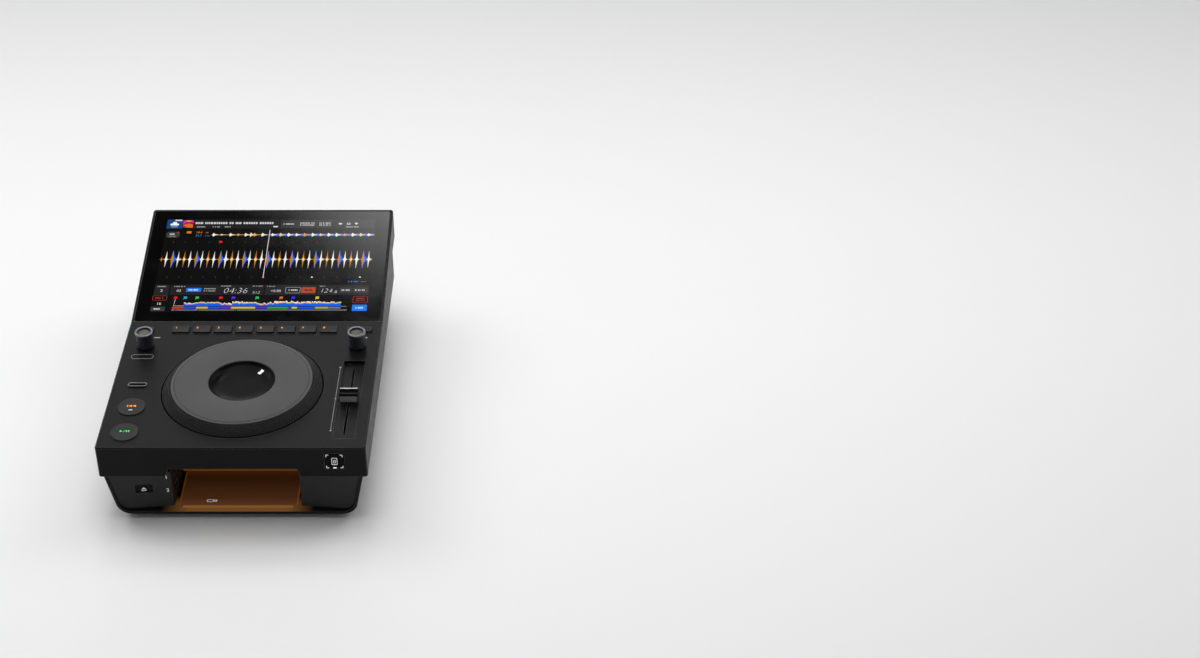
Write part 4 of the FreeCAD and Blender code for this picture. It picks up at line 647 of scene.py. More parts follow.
# header: two thumbnails, a title bar, and three buttons
area(-108.5, 13.2, 108.5, 148.8, "060606", 0)
area(-80.5, 135.2, 108.5, 148.8, "1b1b1c", 1)
area(-108.5, 135.2, -92.6, 148.8, "1d4378", 1)
light(prism(plate_outline(9.0, 3.0, 1.4) + (-100.5, 141.2)), "e8eef6", 2)
light(prism(plate_outline(4.6, 4.6, 2.2) + (-100.5, 143.0)), "e8eef6", 3)
area(-100.5, 146.6, -93.4, 148.4, "d8dce2", 2)
area(-104.0, 137.2, -97.0, 138.2, "8fb0dd", 2)
area(-92.0, 136.4, -81.2, 147.4, "8c1846", 1)
light(prism([(-92.0, 140), (-87, 136.4), (-81.2, 136.4), (-81.2, 141), (-86, 143)]), "e2631f", 2)
light(prism([(-92.0, 141.5), (-86.5, 145.5), (-81.2, 143.5), (-81.2, 147.4), (-92.0, 147.4)]), "d3308a", 2)
light(prism([(-90, 147.4), (-86.5, 145.2), (-83.0, 147.4)]), "f0b03c", 3)
words(-79.0, 143.4, 2.0, 2.9, "cfcfcf", seed=3)
words(-77.0, 137.7, -67.5, 1.7, "9a9a9a", seed=4)
words(-60.5, 137.7, -52.5, 1.7, "9a9a9a", seed=5)
words(-48.0, 137.7, -42.0, 1.7, "9a9a9a", seed=6)
area(2.6, 137.2, 7.2, 138.9, "e4e4e4", 3, 0.3)
for left, right in ((10.2, 27.2), (27.8, 47.0), (47.6, 63.4)):
    area(left, 136.0, right, 148.0, "2c2c2e", 2)
words(12.6, 142.0, 25.4, 1.9, "bdbdbd", seed=7)
for middle in (143.4, 140.4):
    words(30.0, middle, 45.0, 1.7, "bdbdbd", seed=int(middle * 10))
    words(50.0, middle, 61.6, 1.7, "bdbdbd", seed=int(middle * 10) + 1)
light(prism(plate_outline(3.6, 2.2, 1.0) + (71.9, 142.4)), "dedede", 3)
light(shifted(band(plate_outline(3.6, 3.0, 0.9), plate_outline(2.4, 1.8, 0.5)), 80.5, 142.3), "dedede", 3)
light(prism([(86.6, 143.4), (88.5, 144.0), (90.4, 143.4), (88.5, 140.9)]), "dedede", 3)
words(78.0, 137.6, 91.5, 1.6, "a8a8a8", seed=9)
area(95.0, 136.4, 107.0, 147.6, "232325", 2)

# second row: a small key, two readings and the track's overview
area(-107.3, 121.4, -93.4, 130.2, "3a3a3c", 1, 3.0)
words(-103.6, 126.6, -97.6, 2.0, "cfcfcf", seed=11)
words(-104.2, 123.4, -96.6, 1.4, "8f8f8f", seed=12)
area(-96.2, 128.2, -94.2, 130.2, "d8281e", 2, 0.9)
area(-86.4, 127.8, -81.6, 131.0, "e07a1c", 2, 0.5)
light(shifted(figures("18.4", 3.8), -73.5, 129.2), "e07a1c", 3)
light(shifted(figures("52.7", 3.8), -73.5, 124.4), "3b82c4", 3)
words(-66.8, 129.0, -62.2, 1.5, "a35c1c", seed=13)
words(-66.8, 124.2, -62.2, 1.5, "2f6597", seed=14)

MIRROR = np.array([1, -1])


def beat(at, middle, shape, colour, layer, tall=1.0, wide=1.0):
    """One beat of a wave: the outline of its upper half, and that mirrored in the middle line."""
    side = np.asarray(shape, float) * (wide, tall) + (at, 0)
    light(prism(np.concatenate([side, (side * MIRROR)[::-1][1:-1]]) + (0, middle)), colour, layer)


TRACK = 125.7
LUMP = [(-1.2, 0), (-0.5, 0.5), (0.0, 1.0), (0.9, 0.62), (2.2, 0.25), (4.2, 0.14), (5.6, 0)]
area(-60.3, TRACK - 0.45, 0.3, TRACK + 0.45, "c98a38", 1)
area(0.3, TRACK - 1.9, 108.6, TRACK + 1.9, "1c58d8", 1)
area(0.3, TRACK - 0.45, 108.6, TRACK + 0.45, "c08a4a", 2)
for at, tall, colour in ((-58.4, 2.8, "f7f0e2"), (-50.2, 1.5, "e8c890"), (-41.0, 2.8, "f7f0e2"), (-33.0, 2.2, "d8923c"),
                         (-25.2, 2.8, "f7f0e2"), (-19.8, 3.4, "f2d9a8"), (-16.0, 3.0, "dc9b3e"), (-7.8, 3.0, "f7f0e2")):
    beat(at, TRACK, LUMP, colour, 3, tall)
for number in range(13):
    colour = ("f4f0ea", "e6c898", "f4f0ea", "f4f0ea", "d99a4a")[number % 5]
    beat(2.6 + 8.3 * number, TRACK, LUMP, colour, 3, 3.0 if number % 3 else 2.4)

# the wave: white beats between amber ones that die away, of which every other lies over blue
WAVE = 89.1
STEP = 12.216
chance = np.random.RandomState(21)
WHITE_BEAT = [(-2.0, 0), (-1.1, 0.9), (-0.65, 3.2), (-0.32, 8.0), (0.0, 13.6), (0.36, 8.0), (0.75, 3.2),
              (1.2, 1.1), (2.4, 0)]
AMBER_BEAT = [(-2.5, 0), (-1.5, 2.2), (-0.9, 5.4), (-0.45, 9.4), (0.0, 13.4), (0.3, 9.4), (0.75, 5.4), (1.4, 2.6),
              (2.4, 0.9), (3.2, 0)]
BLUE_BEAT = [(-0.4, 0), (0.1, 13.2), (0.65, 9.0), (1.4, 5.8), (2.4, 3.4), (3.6, 1.7), (5.2, 0.6), (5.8, 0)]
CORE_BEAT = [(-1.3, 0), (-0.5, 1.6), (0.0, 3.0), (0.6, 1.5), (1.6, 0)]
area(-109.0, WAVE - 0.45, 108.5, WAVE + 0.45, "b87a22", 1)
for number in range(18):
    at = -102.7 + STEP * number
    beat(at, WAVE, WHITE_BEAT, "f6f3ec", 5, chance.uniform(0.88, 1.06), chance.uniform(0.95, 1.15))
    after = at + 6.3
    if after < 108.0:
        beat(after, WAVE, AMBER_BEAT, "c27d16", 4, chance.uniform(0.94, 1.02), 0.7)
        if number % 2 == 0:
            beat(after + 0.2, WAVE, BLUE_BEAT, "0668f5", 3)
        else:
            beat(after, WAVE, CORE_BEAT, "f1dcb4", 5)
    if number % 4 == 1:
        beat(at + 2.2, WAVE, CORE_BEAT, "e0a03e", 4, 0.7, 1.2)
beat(-107.2, WAVE, AMBER_BEAT, "c27d16", 4, 0.3, 0.5)
area(-0.65, 62.5, -0.05, 133.0, "e9e9e9", 6)
area(-1.3, 61.6, 0.6, 63.0, "d06c1c", 6)
for number in range(18):
    at = -98.3 + 12.33 * number
    first = "8c1f22" if number % 4 == 0 else "3c3c3e"
    area(at - 0.25, 113.4, at + 0.25, 115.6, first, 2)
    area(at - 0.25, 61.9, at + 0.25, 64.1, first, 2)
area(-51.3, 113.6, -47.9, 116.6, "e0202a", 3, 0.5)
for at in (49.2, 98.1):
    area(at - 0.9, 62.2, at + 0.9, 64.0, "e8e8e8", 3, 0.8)
words(86.6, 56.7, 97.0, 1.9, "2a6bb4", seed=31)
area(99.5, 56.4, 105.0, 57.0, "6c6c6c", 2)

# information bar: deck and track numbers, time, tempo and beats a minute
area(-108.5, 37.4, -93.6, 52.0, "232325", 1)
area(-92.4, 37.4, 2.6, 52.0, "202022", 1)
area(3.4, 37.4, 55.8, 52.0, "262628", 1)
area(56.4, 37.4, 108.5, 52.0, "262628", 1)
words(-105.8, 49.6, -96.4, 1.5, "9a9a9a", seed=41)
light(shifted(figures("2", 4.8), -101.0, 43.6), "e6e6e6", 3)
words(-88.8, 49.6, -78.0, 1.5, "9a9a9a", seed=42)
light(shifted(figures("03", 4.6), -83.5, 43.4), "dcdcdc", 3)
area(-76.2, 42.0, -61.0, 47.4, "1f7be8", 2, 0.9)
words(-73.8, 44.7, -63.4, 1.8, "dfeafc", seed=43)
for middle in (46.4, 43.2):
    words(-58.4, middle, -45.6, 1.5, "9a9a9a", seed=int(middle * 10))
words(-41.5, 50.2, -31.0, 1.4, "8f8f8f", seed=45)
words(-9.5, 50.2, 0.5, 1.4, "8f8f8f", seed=46)
light(shifted(figures("04:36", 11.2, 0.32, 0.2), -26.5, 43.3), "f2f2f2", 3)
light(shifted(figures("512", 5.2, 0.1, 0.2), -5.2, 40.9), "cfcfcf", 3)
words(5.2, 49.8, 13.0, 1.4, "8f8f8f", seed=47)
light(shifted(figures("+0.80", 4.6), 14.6, 43.2), "cfcfcf", 3)
frame_line(24.2, 40.2, 39.2, 48.6, "b9b9b9")
words(27.4, 44.4, 36.4, 1.9, "cfcfcf", seed=48)
area(40.2, 40.2, 54.6, 48.6, "b0472a", 2, 0.8)
words(43.6, 44.4, 51.4, 1.9, "3c130a", seed=49)
words(58.6, 50.0, 64.0, 1.4, "8f8f8f", seed=50)
light(shifted(figures("124", 8.4, 0.22, 0.2), 65.2, 43.4), "ececec", 3)
light(shifted(figures(".0", 5.0), 74.8, 41.8), "cfcfcf", 3)
for left, right in ((78.8, 91.4), (92.4, 107.8)):
    area(left, 40.6, right, 48.2, "39393b", 2, 0.8)
    words(left + 2.0, 44.4, right - 2.0, 1.9, "c4c4c4", seed=int(left))

# lower left and right: three boxes, and two keys
frame_line(-108.6, 29.8, -94.2, 36.4, "b8462c")
words(-106.0, 33.1, -96.8, 2.2, "8a3a28", seed=51)
light(shifted(figures("16", 4.8), -101.3, 25.0), "dcdcdc", 3)
area(-108.6, 14.6, -94.2, 20.8, "39393b", 1)
words(-105.4, 17.6, -97.4, 2.0, "cfcfcf", seed=52)
frame_line(93.4, 26.2, 108.3, 35.8, "b8462c")
words(96.6, 32.4, 105.2, 1.7, "9a3c28", seed=53)
words(96.6, 29.4, 105.2, 1.7, "9a3c28", seed=54)
area(93.4, 14.9, 108.3, 23.6, "1f7be8", 1, 0.6)
words(96.8, 19.2, 105.0, 1.9, "d8e6fb", seed=55)

# overview: marker flags, the track's shape in blue, amber and white, and its phrases
area(-90.2, 13.8, 88.4, 36.2, "0b0b0c", 1)
for at, colour in ((-85.5, "e21b25"), (-75.6, "19a7c4"), (-63.7, "2fbf2a"), (-39.7, "e21b25"), (-27.1, "5b2bd6"),
                   (-3.2, "21c24d"), (21.0, "e0681c"), (33.2, "2b35e0"), (57.3, "d3cf2a")):
    area(at - 1.7, 32.0, at + 1.7, 35.2, colour, 3, 0.3)
    area(at - 1.7, 30.8, at - 1.3, 32.0, colour, 3)
bars = 150
loud = np.interp(np.linspace(0, 1, bars), (0.0, 0.07, 0.08, 0.23, 0.24, 0.30, 0.31, 0.46, 0.47, 0.53, 0.60, 0.69, 0.70,
                                           0.83, 0.85, 0.87, 1.0),
                 (4.6, 4.4, 5.6, 5.6, 4.0, 3.8, 5.4, 5.6, 3.6, 4.0, 6.0, 6.2, 5.4, 5.4, 6.4, 5.6, 5.6))
loud = loud - 0.6 + np.repeat(chance.uniform(-0.7, 0.8, bars // 2), 2)
pale = np.interp(np.linspace(0, 1, bars), (0, 0.24, 0.3, 0.47, 0.6, 0.7, 1), (0.5, 0.3, 0.9, 0.3, 1.2, 0.9, 0.4))
for number, left in enumerate(np.linspace(-76.0, 80.8, bars)):
    base, tall, white = 21.5, loud[number], pale[number] * chance.uniform(0.2, 2.4)
    area(left, base, left + 1.06, base + tall - 1.2, "0560f0", 2)
    area(left, base + tall - 1.2, left + 1.06, base + tall - 0.3, "d88a1c", 2)
    area(left, base + tall - 0.3, left + 1.06, base + tall + white, "f6ead2", 2)
light(stroke([(-85.4, 31.0), (-86.2, 22.0), (-76.0, 22.0)], 0.45), "d8d8d8", 4)
area(82.1, 21.0, 87.6, 21.6, "9a9a9a", 2)
phrases = ((-87.4, -75.2, "d3322c"), (-75.2, -63.0, "2a4fd0"), (-63.0, -51.0, "c9b52c"), (-51.0, -39.8, "2a4fd0"),
           (-39.8, -28.0, "5a35c4"), (-28.0, -3.4, "c9c030"), (-3.4, 8.4, "5430c0"), (8.4, 29.8, "3c9a3a"),
           (29.8, 32.8, "5a35c4"), (32.8, 38.6, "c9c030"), (38.6, 56.2, "2a4fd0"), (56.2, 69.8, "a9a43a"),
           (69.8, 82.2, "6c7686"))
for left, right, colour in phrases:
    area(left, 18.0, right - 0.3, 20.6, colour, 2)
area(-87.4, 15.9, 87.6, 16.3, "cfcfcf", 2)
for at in (-87.0, -64.0, -25.5, 24.0, 85.0):
    area(at, 15.2, at + 3.6, 17.2, "0b0b0c", 3)
    words(at + 0.2, 16.2, at + 3.4, 1.2, "bdbdbd", seed=int(at + 200))


def screen_light():
    """Lit picture under glass: each area glows in its own colour, and the gloss lies over it."""
    material, tree, shader = start("screen_light")
    tone = add(tree, "ShaderNodeAttribute", {}, attribute_name="tone")
    smear = speckle(tree, 30, 5, 0.65)
    tree.links.new(tone.outputs["Color"], shader.inputs["Emission Color"])
    tree.links.new(spread_over(tree, smear, 0.05, 0.11, 0.3, 0.75), shader.inputs["Roughness"])
    shader.inputs["Base Color"].default_value = (0.002, 0.002, 0.002, 1)
    shader.inputs["Emission Strength"].default_value = 1.0
    shader.inputs["Specular IOR Level"].default_value = 0.22
    return material


picture = add_piece("screen_picture", [part for part, colour in lit], [screen_light()], "case")
tones = np.concatenate([np.tile((*colour, 1.0), (sum(len(face) for face in part[1]), 1))
                        for part, colour in lit])
tone = picture.data.attributes.new("tone", "FLOAT_COLOR", "CORNER")
tone.data.foreach_set("color", tones.astype(np.float32).ravel())


# Jog wheel: a moulded skirt with rows of small raised dots for grip, on a web and hub that turn on
# the bearing. A satin metal plate and a glossy dish are let into its top.

JOG = (0.0, -89.5, PANEL)
SKIRT_LOW = np.array([76.5, 0.0])
SKIRT_HIGH = np.array([67.8, 7.8])
DOT_ROWS = 7
DOTS = 240
wheel = [(11.0, -8.5), (14.0, -8.5), (14.0, 0.15), (31.6, 0.15), (31.6, -6.0), (33.75, -6.0), (33.75, 5.4),
         (65.0, 5.4), (74.1, -7.0), (79.3, -7.0), (79.3, -5.0), (76.5, -5.0), tuple(SKIRT_LOW),
         tuple(SKIRT_HIGH), (67.4, 7.4), (31.75, 7.4), (31.75, 2.15), (9.0, 2.15), (9.0, -1.5), (11.0, -1.5)]


def grip_dots():
    """Rows of round dots on the slope, each row half a step round from the last: a dot is three rings
    of eight points on a dome, over its middle on the slope and along the slope's normal."""
    slope = (SKIRT_HIGH - SKIRT_LOW) / np.linalg.norm(SKIRT_HIGH - SKIRT_LOW)
    normal = np.array([slope[1], -slope[0]])
    row = np.repeat(np.arange(DOT_ROWS), DOTS)
    angle = (np.tile(np.arange(DOTS), DOT_ROWS) + 0.5 * (row % 2)) * 2 * np.pi / DOTS
    middle = SKIRT_LOW + (SKIRT_HIGH - SKIRT_LOW) * ((row + 0.75) / (DOT_ROWS + 0.5))[:, None]
    turn = np.arange(8) * np.pi / 4
    wide = np.array([0.58, 0.46, 0.22])[:, None]
    high = np.array([-0.10, 0.20, 0.30])[:, None] + 0 * turn
    along, around = wide * np.cos(turn), wide * np.sin(turn)
    radius = middle[:, 0, None, None] + along * slope[0] + high * normal[0]
    height = middle[:, 1, None, None] + along * slope[1] + high * normal[1]
    c, s = np.cos(angle)[:, None, None], np.sin(angle)[:, None, None]
    dots = np.stack([radius * c - around * s, radius * s + around * c, height + 0 * c], -1) + JOG
    return [skin(dot[:, ::-1]) for dot in dots]


skirt_plastic = moulded("skirt_plastic", tint("090909"), 0.45, grain=0.3, edge=0.15)
# painted highlight: the dots are moulded in the skirt's black plastic, and their lighter grey stands for the gleam on
# their domes
dot_painted_highlight = moulded("dot_painted_highlight", tint("424242"), 0.4, grain=0.2, edge=0.1)
add_piece("jog_wheel_skirt", [lathe(soft_corners(wheel, 0.3, 2), JOG, 192, ring=True)] + grip_dots(),
          [skirt_plastic, dot_painted_highlight], "jog", ["jog_wheel"], of_part=[0] + [1] * DOT_ROWS * DOTS)


def spun_plate(name, colour, line, rim, line_from, rim_from):
    """Metal disc painted satin grey over fine turning marks, which follow the distance from the jog's
    axis. A dark line and a lighter rim start at the distances given, in millimetres."""
    material, tree, shader = start(name)
    centred = add(tree, "ShaderNodeMapping", {"Vector": place_of(tree), "Location": (0, -JOG[1] * MM, 0)})
    flat = add(tree, "ShaderNodeVectorMath", {0: centred.outputs["Vector"], 1: (1, 1, 0)}, operation="MULTIPLY")
    reach = add(tree, "ShaderNodeVectorMath", {0: flat.outputs["Vector"]}, operation="LENGTH").outputs["Value"]
    rings = add(tree, "ShaderNodeTexNoise", {"W": reach, "Scale": 5200.0, "Detail": 2.0}, noise_dimensions="1D")
    tone = ramp(tree, speckle(tree, 26, 4), (0.3, np.array(colour) * 0.95), (0.7, np.array(colour) * 1.05))
    for start_at, over in ((line_from, line), (rim_from, rim)):
        share = spread_over(tree, reach, 0, 1, (start_at - 0.1) * MM, (start_at + 0.1) * MM)
        tone = add(tree, "ShaderNodeMix", {0: share, 6: tone, 7: (*over, 1)}, data_type="RGBA").outputs[2]
    bumps = add(tree, "ShaderNodeBump", {"Height": rings.outputs["Fac"], "Distance": 0.000005, "Strength": 0.6})
    tree.links.new(tone, shader.inputs["Base Color"])
    tree.links.new(spread_over(tree, speckle(tree, 1.1), 0.46, 0.56), shader.inputs["Roughness"])
    tree.links.new(bumps.outputs["Normal"], shader.inputs["Normal"])
    shader.inputs["Specular IOR Level"].default_value = 0.3
    return material


plate = [(31.6, 7.4), (67.4, 7.4), (67.4, 8.2), (67.1, 8.5), (65.8, 8.5), (65.55, 8.75), (65.2, 9.0),
         (32.1, 9.0), (31.6, 8.5)]
add_piece("jog_plate", [lathe(soft_corners(plate, 0.15, 2), JOG, 256, ring=True)],
          [spun_plate("plate_paint", tint("3d3d3d"), tint("0c0c0c"), tint("484848"), 63.8, 64.6)], "jog",
          ["jog_top_plate"])

DISH_RADIUS = 31.45
DISH_FLOOR = 4.0
DISH_RISE = 4.2


def dish_height(radius):
    """Bowl over the dish: floor plus rise times the eighth power of the share of the radius."""
    return DISH_FLOOR + DISH_RISE * (radius / (DISH_RADIUS - 0.5)) ** 8


bowl = np.linspace(DISH_RADIUS - 0.5, 1.0, 40)
dish = [(1.0, 2.5), (DISH_RADIUS, 2.5), (DISH_RADIUS, 8.1), (DISH_RADIUS - 0.25, 8.3)]
dish += list(zip(bowl, dish_height(bowl)))
add_piece("jog_bowl", [lathe(dish, JOG, 192)], [glossy("dish_gloss", tint("030303"), 0.34, 0.055)],
          "jog", ["jog_dish"])

MARK_ANGLE = math.radians(50.4)
MARK_RADIUS = 24.4
MARK_HALF_WIDTH = 1.7
MARK_PART = 2.8
MARK_GAP = 0.3


def marker_bar(side):
    """Half of the bar printed along a radius of the bowl: a grid of points in plan, dropped onto the
    bowl's height at their distance from the axis, with one layer above the surface and one below."""
    middle = MARK_RADIUS + side * (MARK_PART + MARK_GAP) / 2
    out, aside = np.meshgrid(middle + MARK_PART / 2 * np.linspace(-1, 1, 9),
                             MARK_HALF_WIDTH * np.linspace(-1, 1, 6))
    x = out * math.cos(MARK_ANGLE) - aside * math.sin(MARK_ANGLE)
    y = out * math.sin(MARK_ANGLE) + aside * math.cos(MARK_ANGLE)
    upper, lower = (np.stack([x, y, dish_height(np.hypot(x, y)) + lift], -1) for lift in (0.06, -0.06))
    return skin(np.concatenate([upper, lower[:, ::-1]], 1) + JOG)


add_piece("jog_marker", [marker_bar(side) for side in (-1, 1)], [ink("marker_white", tint("ededed"), 0.4)],
          "jog")

steel = sheet_metal("ground_steel", (0.6, 0.6, 0.62), 0.22)
bearing = [(4.04, -8.5), (6.2, -8.5), (6.3, -8.3), (8.6, -8.3), (8.7, -8.5), (10.96, -8.5), (10.96, -1.5),
           (8.7, -1.5), (8.6, -1.7), (6.3, -1.7), (6.2, -1.5), (4.04, -1.5)]
add_piece("ball_bearing", [lathe(soft_corners(bearing, 0.15, 2), JOG, 96, ring=True)], [steel],
          "jog", ["jog_bearing"])
dress(steel, "jog_spindle")


# Knobs: a soft-touch cap with fine flutes on a steel shaft, an anodised ring pressed on its top, and
# a pitted metal disc sunk inside the ring.

KNOB_BACK = 161.0


def knob_flutes(height, angle):
    """Shallow flutes round the cap, strongest at mid-height: a squared cosine in angle."""
    strength = np.clip(1 - np.abs(height - 8.6) / 6.0, 0, 1) ** 0.5
    return -0.16 * strength * np.cos(15 * angle) ** 2


knob = [(3.0, 0.8), (8.35, 0.8), (8.6, 1.1), (8.6, 2.3), (8.36, 3.4), (8.24, 4.8), (8.2, 7.0), (8.2, 10.0),
        (8.22, 12.6), (8.36, 14.2), (8.5, 15.25), (6.55, 15.3), (6.4, 15.5), (0.6, 15.5), (0.6, 12.5), (3.0, 12.5)]
ring = [(6.5, 15.3), (8.62, 15.3), (9.0, 15.8), (9.0, 16.9), (8.7, 17.3), (8.3, 17.5), (7.2, 17.5), (6.8, 17.3),
        (6.5, 16.9)]
shaft = [(0.5, -8.6), (2.6, -8.6), (3.0, -8.2), (3.0, 12.3), (0.5, 12.5)]


def soft_touch(name, colour):
    """Soft-touch paint: very dull, with a bluish sheen at glancing angles and faint marks of use."""
    material, tree, shader = start(name)
    marks_of_use = speckle(tree, 2.4, 4)
    tree.links.new(ramp(tree, marks_of_use, (0.3, np.array(colour) * 0.85), (0.75, np.array(colour) * 1.35)),
                   shader.inputs["Base Color"])
    bumps = add(tree, "ShaderNodeBump", {"Height": speckle(tree, 0.3, 2), "Distance": 0.00001, "Strength": 0.8})
    tree.links.new(bumps.outputs["Normal"], shader.inputs["Normal"])
    shader.inputs["Roughness"].default_value = 0.62
    shader.inputs["Sheen Weight"].default_value = 0.18
    shader.inputs["Sheen Tint"].default_value = (0.55, 0.62, 0.8, 1)
    return material


def pitted_disc(name, base, spots):
    """Cast disc inside the ring: olive-grey metal with darker pits."""
    material, tree, shader = start(name)
    pits = speckle(tree, 1.3, 5, 0.7)
    tree.links.new(ramp(tree, pits, (0.35, spots), (0.62, base)), shader.inputs["Base Color"])
    bumps = add(tree, "ShaderNodeBump", {"Height": pits, "Distance": 0.00012, "Strength": 0.9})
    tree.links.new(bumps.outputs["Normal"], shader.inputs["Normal"])
    shader.inputs["Metallic"].default_value = 0.5
    shader.inputs["Roughness"].default_value = 0.55
    return material


knob_paint = soft_touch("knob_paint", tint("0d0e12"))
disc_metal = pitted_disc("disc_metal", tint("6c6c60"), tint("2a2a25"))
ring_metal = sheet_metal("anodised_ring", tint("75757f"), 0.42)
for name, x in (("loop", -104.0), ("browse", 104.0)):
    place = (x, FRONT + KNOB_BACK, PANEL)
    cap = lathe(soft_corners(knob, 0.25, 2, closed=True), place, 180, ring=True, ripple=knob_flutes)
    disc = lathe([(0.3, 15.4), (5.3, 15.4), (5.3, 15.75), (5.1, 15.9), (0.3, 15.9)], place, 72)
    add_piece(f"{name}_knob_cap", [cap, disc], [knob_paint, disc_metal], f"{name}_knob_body",
              [f"{name}_knob"], of_part=[0, 1])
    add_piece(f"{name}_trim_ring", [lathe(soft_corners(ring, 0.2, 2), place, 96, ring=True)], [ring_metal],
              f"{name}_knob_body", [f"{name}_knob_ring"])
    add_piece(f"{name}_steel_shaft", [lathe(shaft, place, 48)], [steel], f"{name}_knob_body",
              [f"{name}_shaft"])


# Buttons: moulded caps with a rolled edge, held under the panel by a flange and stood on a short
# stem over the switch. The symbols on them are printed or lit from below.

FLANGE_LOW = -3.7
FLANGE_TOP = -2.7
STEM_LOW = -5.8
STEM = 4.0
FLANGE = 1.1


def cap_shape(width, length, corner, rise, roll=0.55, hollow=0.12, steps=7):
    """Button as stacked outlines: stem, flange, straight sides, a quarter-round roll at the top edge
    and a faint hollow in the top."""
    levels = [(STEM, STEM, 0.4, STEM_LOW), (STEM, STEM, 0.4, FLANGE_LOW),
              (width + 2 * FLANGE, length + 2 * FLANGE, corner + FLANGE, FLANGE_LOW),
              (width + 2 * FLANGE, length + 2 * FLANGE, corner + FLANGE, FLANGE_TOP),
              (width, length, corner, FLANGE_TOP)]
    for angle in np.linspace(0, np.pi / 2, 5):
        inset = roll * (1 - np.cos(angle))
        levels.append((width - 2 * inset, length - 2 * inset, corner - inset * 0.6,
                       rise - roll * (1 - np.sin(angle))))
    for inset, drop in ((1.1, 0.2), (1.9, 0.7), (2.9, 1.0)):
        levels.append((width - 2 * inset, length - 2 * inset, max(corner - inset * 0.6, 0.25),
                       rise - hollow * drop))
    rows = [np.c_[plate_outline(w, l, r, steps), np.full(4 * (steps + 1), z)] for w, l, r, z in levels]
    return skin(np.stack(rows))


orange_ink = ink("orange_ink", tint("f08c00"), 0.95)
green_ink = ink("green_ink", tint("1fd33a"), 0.9)
HOT_CUE_BACK = 187.6
HOT_CUE_RISE = 1.5
for number in range(8):
    x = 20.95 * (number - 3.5)
    name = f"hot_cue_button_{number + 1}"
    cap = on_panel(cap_shape(17.2, 11.0, 1.2, HOT_CUE_RISE), x, HOT_CUE_BACK)
    add_piece(f"hot_cue_cap_{number + 1}", [cap], [button_plastic], f"{name}_body", [name])
    numeral = on_panel(figures(str(number + 1), 3.2, -0.12), x - 4.8, HOT_CUE_BACK + 1.9, HOT_CUE_RISE - 0.06)
    add_piece(f"hot_cue_numeral_{number + 1}", [numeral], [orange_ink], f"{name}_body")

PILLS = {"shift_button": (-101.2, 96.3, 19.2, 6.6, 3.2), "clear_button": (-105.5, 187.4, 11.6, 8.6, 3.4),
         "back_button": (96.4, 187.4, 11.6, 8.6, 3.4), "tag_button": (110.7, 187.4, 11.6, 8.6, 3.4)}
for name, (x, back, width, length, corner) in PILLS.items():
    cap = on_panel(cap_shape(width, length, corner, 1.4, hollow=0.0), x, back)
    add_piece(name.replace("button", "cap"), [cap], [button_plastic], f"{name}_body", [name])
shift_ring = band(plate_outline(18.1, 5.5, 2.7), plate_outline(17.3, 4.7, 2.3))
add_piece("shift_outline", [on_panel(shift_ring, -101.2, 96.3, 1.4)], [grey_ink], "shift_button_body")

ROUND_RADIUS = 13.1
ROUND_RISE = 1.2
round_cap = [(0.5, STEM_LOW), (2.0, STEM_LOW), (2.0, FLANGE_LOW), (ROUND_RADIUS + FLANGE, FLANGE_LOW),
             (ROUND_RADIUS + FLANGE, FLANGE_TOP), (ROUND_RADIUS, FLANGE_TOP), (ROUND_RADIUS, 0.7),
             (12.95, 1.0), (12.6, 1.17), (12.1, ROUND_RISE), (11.0, 1.19), (8.0, 1.12), (4.0, 1.04), (0.5, 1.02)]
cue_symbol = [prism(box_outline(-4.2, -1.3, -3.3, 1.3)), prism([(-2.7, 0), (0.4, -1.3), (0.4, 1.3)]),
              prism([(1.0, 0), (4.1, -1.3), (4.1, 1.3)])]
play_symbol = [prism([(-4.6, -1.3), (-1.9, 0), (-4.6, 1.3)]), stroke([(-1.1, -1.3), (0.5, 1.3)], 0.5),
               prism(box_outline(1.4, -1.3, 2.4, 1.3)), prism(box_outline(3.4, -1.3, 4.4, 1.3))]
for name, back, symbol, colour in (("cue", 61.6, cue_symbol, orange_ink), ("play", 23.0, play_symbol, green_ink)):
    add_piece(f"{name}_cap", [lathe(round_cap, (-101.2, FRONT + back, PANEL), 128)], [button_plastic],
              f"{name}_button_body", [f"{name}_button"])
    add_piece(f"{name}_symbol", [on_panel(part, -101.2, back + 1.2, 1.06) for part in symbol], [colour],
              f"{name}_button_body")
add_piece("cue_oval", [on_panel(prism(plate_outline(3.6, 0.9, 0.44)), -101.2, 56.6, 1.08)], [white_ink],
          "cue_button_body")
add_piece("eject_symbol", [on_block(part, -86.3, 31.6, 0.35) for part in eject_symbol], [white_ink],
          "eject_button_body")


# Tempo fader: a cap with two cross ridges and a valley for the finger, pushed onto the blade that
# stands up out of the sloping trough. A white line is inlaid in its rear ridge.

CAP_HALF = 8.85
TEMPO_Y = FRONT + 74.5
cap_section = np.array([(-5.5, 0.6), (5.5, 0.6), (4.9, 10.0), (3.9, 10.0), (1.2, 6.8), (-1.2, 6.8),
                        (-3.5, 9.6), (-4.5, 9.6)])
cap_section = soft_corners(cap_section, 0.55, 4)


def fader_cap():
    """Cap as its rounded section carried along X. Near both ends the section is drawn in toward its
    middle by 0.5 (1 - sin a) mm while x runs through the last 0.5 cos a mm, a quarter circle."""
    turn = np.linspace(0, np.pi / 2, 5)
    reach = CAP_HALF - 0.5 + 0.5 * np.cos(turn)
    inset = 0.5 * (1 - np.sin(turn))
    x, inset = np.r_[-reach, reach[::-1]], np.r_[inset, inset[::-1]]
    away = cap_section - (0.0, 5.0)
    away = away / np.linalg.norm(away, axis=1, keepdims=True)
    rows = cap_section[None] - away[None] * inset[:, None, None]
    rows = np.concatenate([np.broadcast_to(x[:, None, None], rows.shape[:2] + (1,)), rows], -1)
    return skin(rows + (TEMPO_X, TEMPO_Y, PANEL))


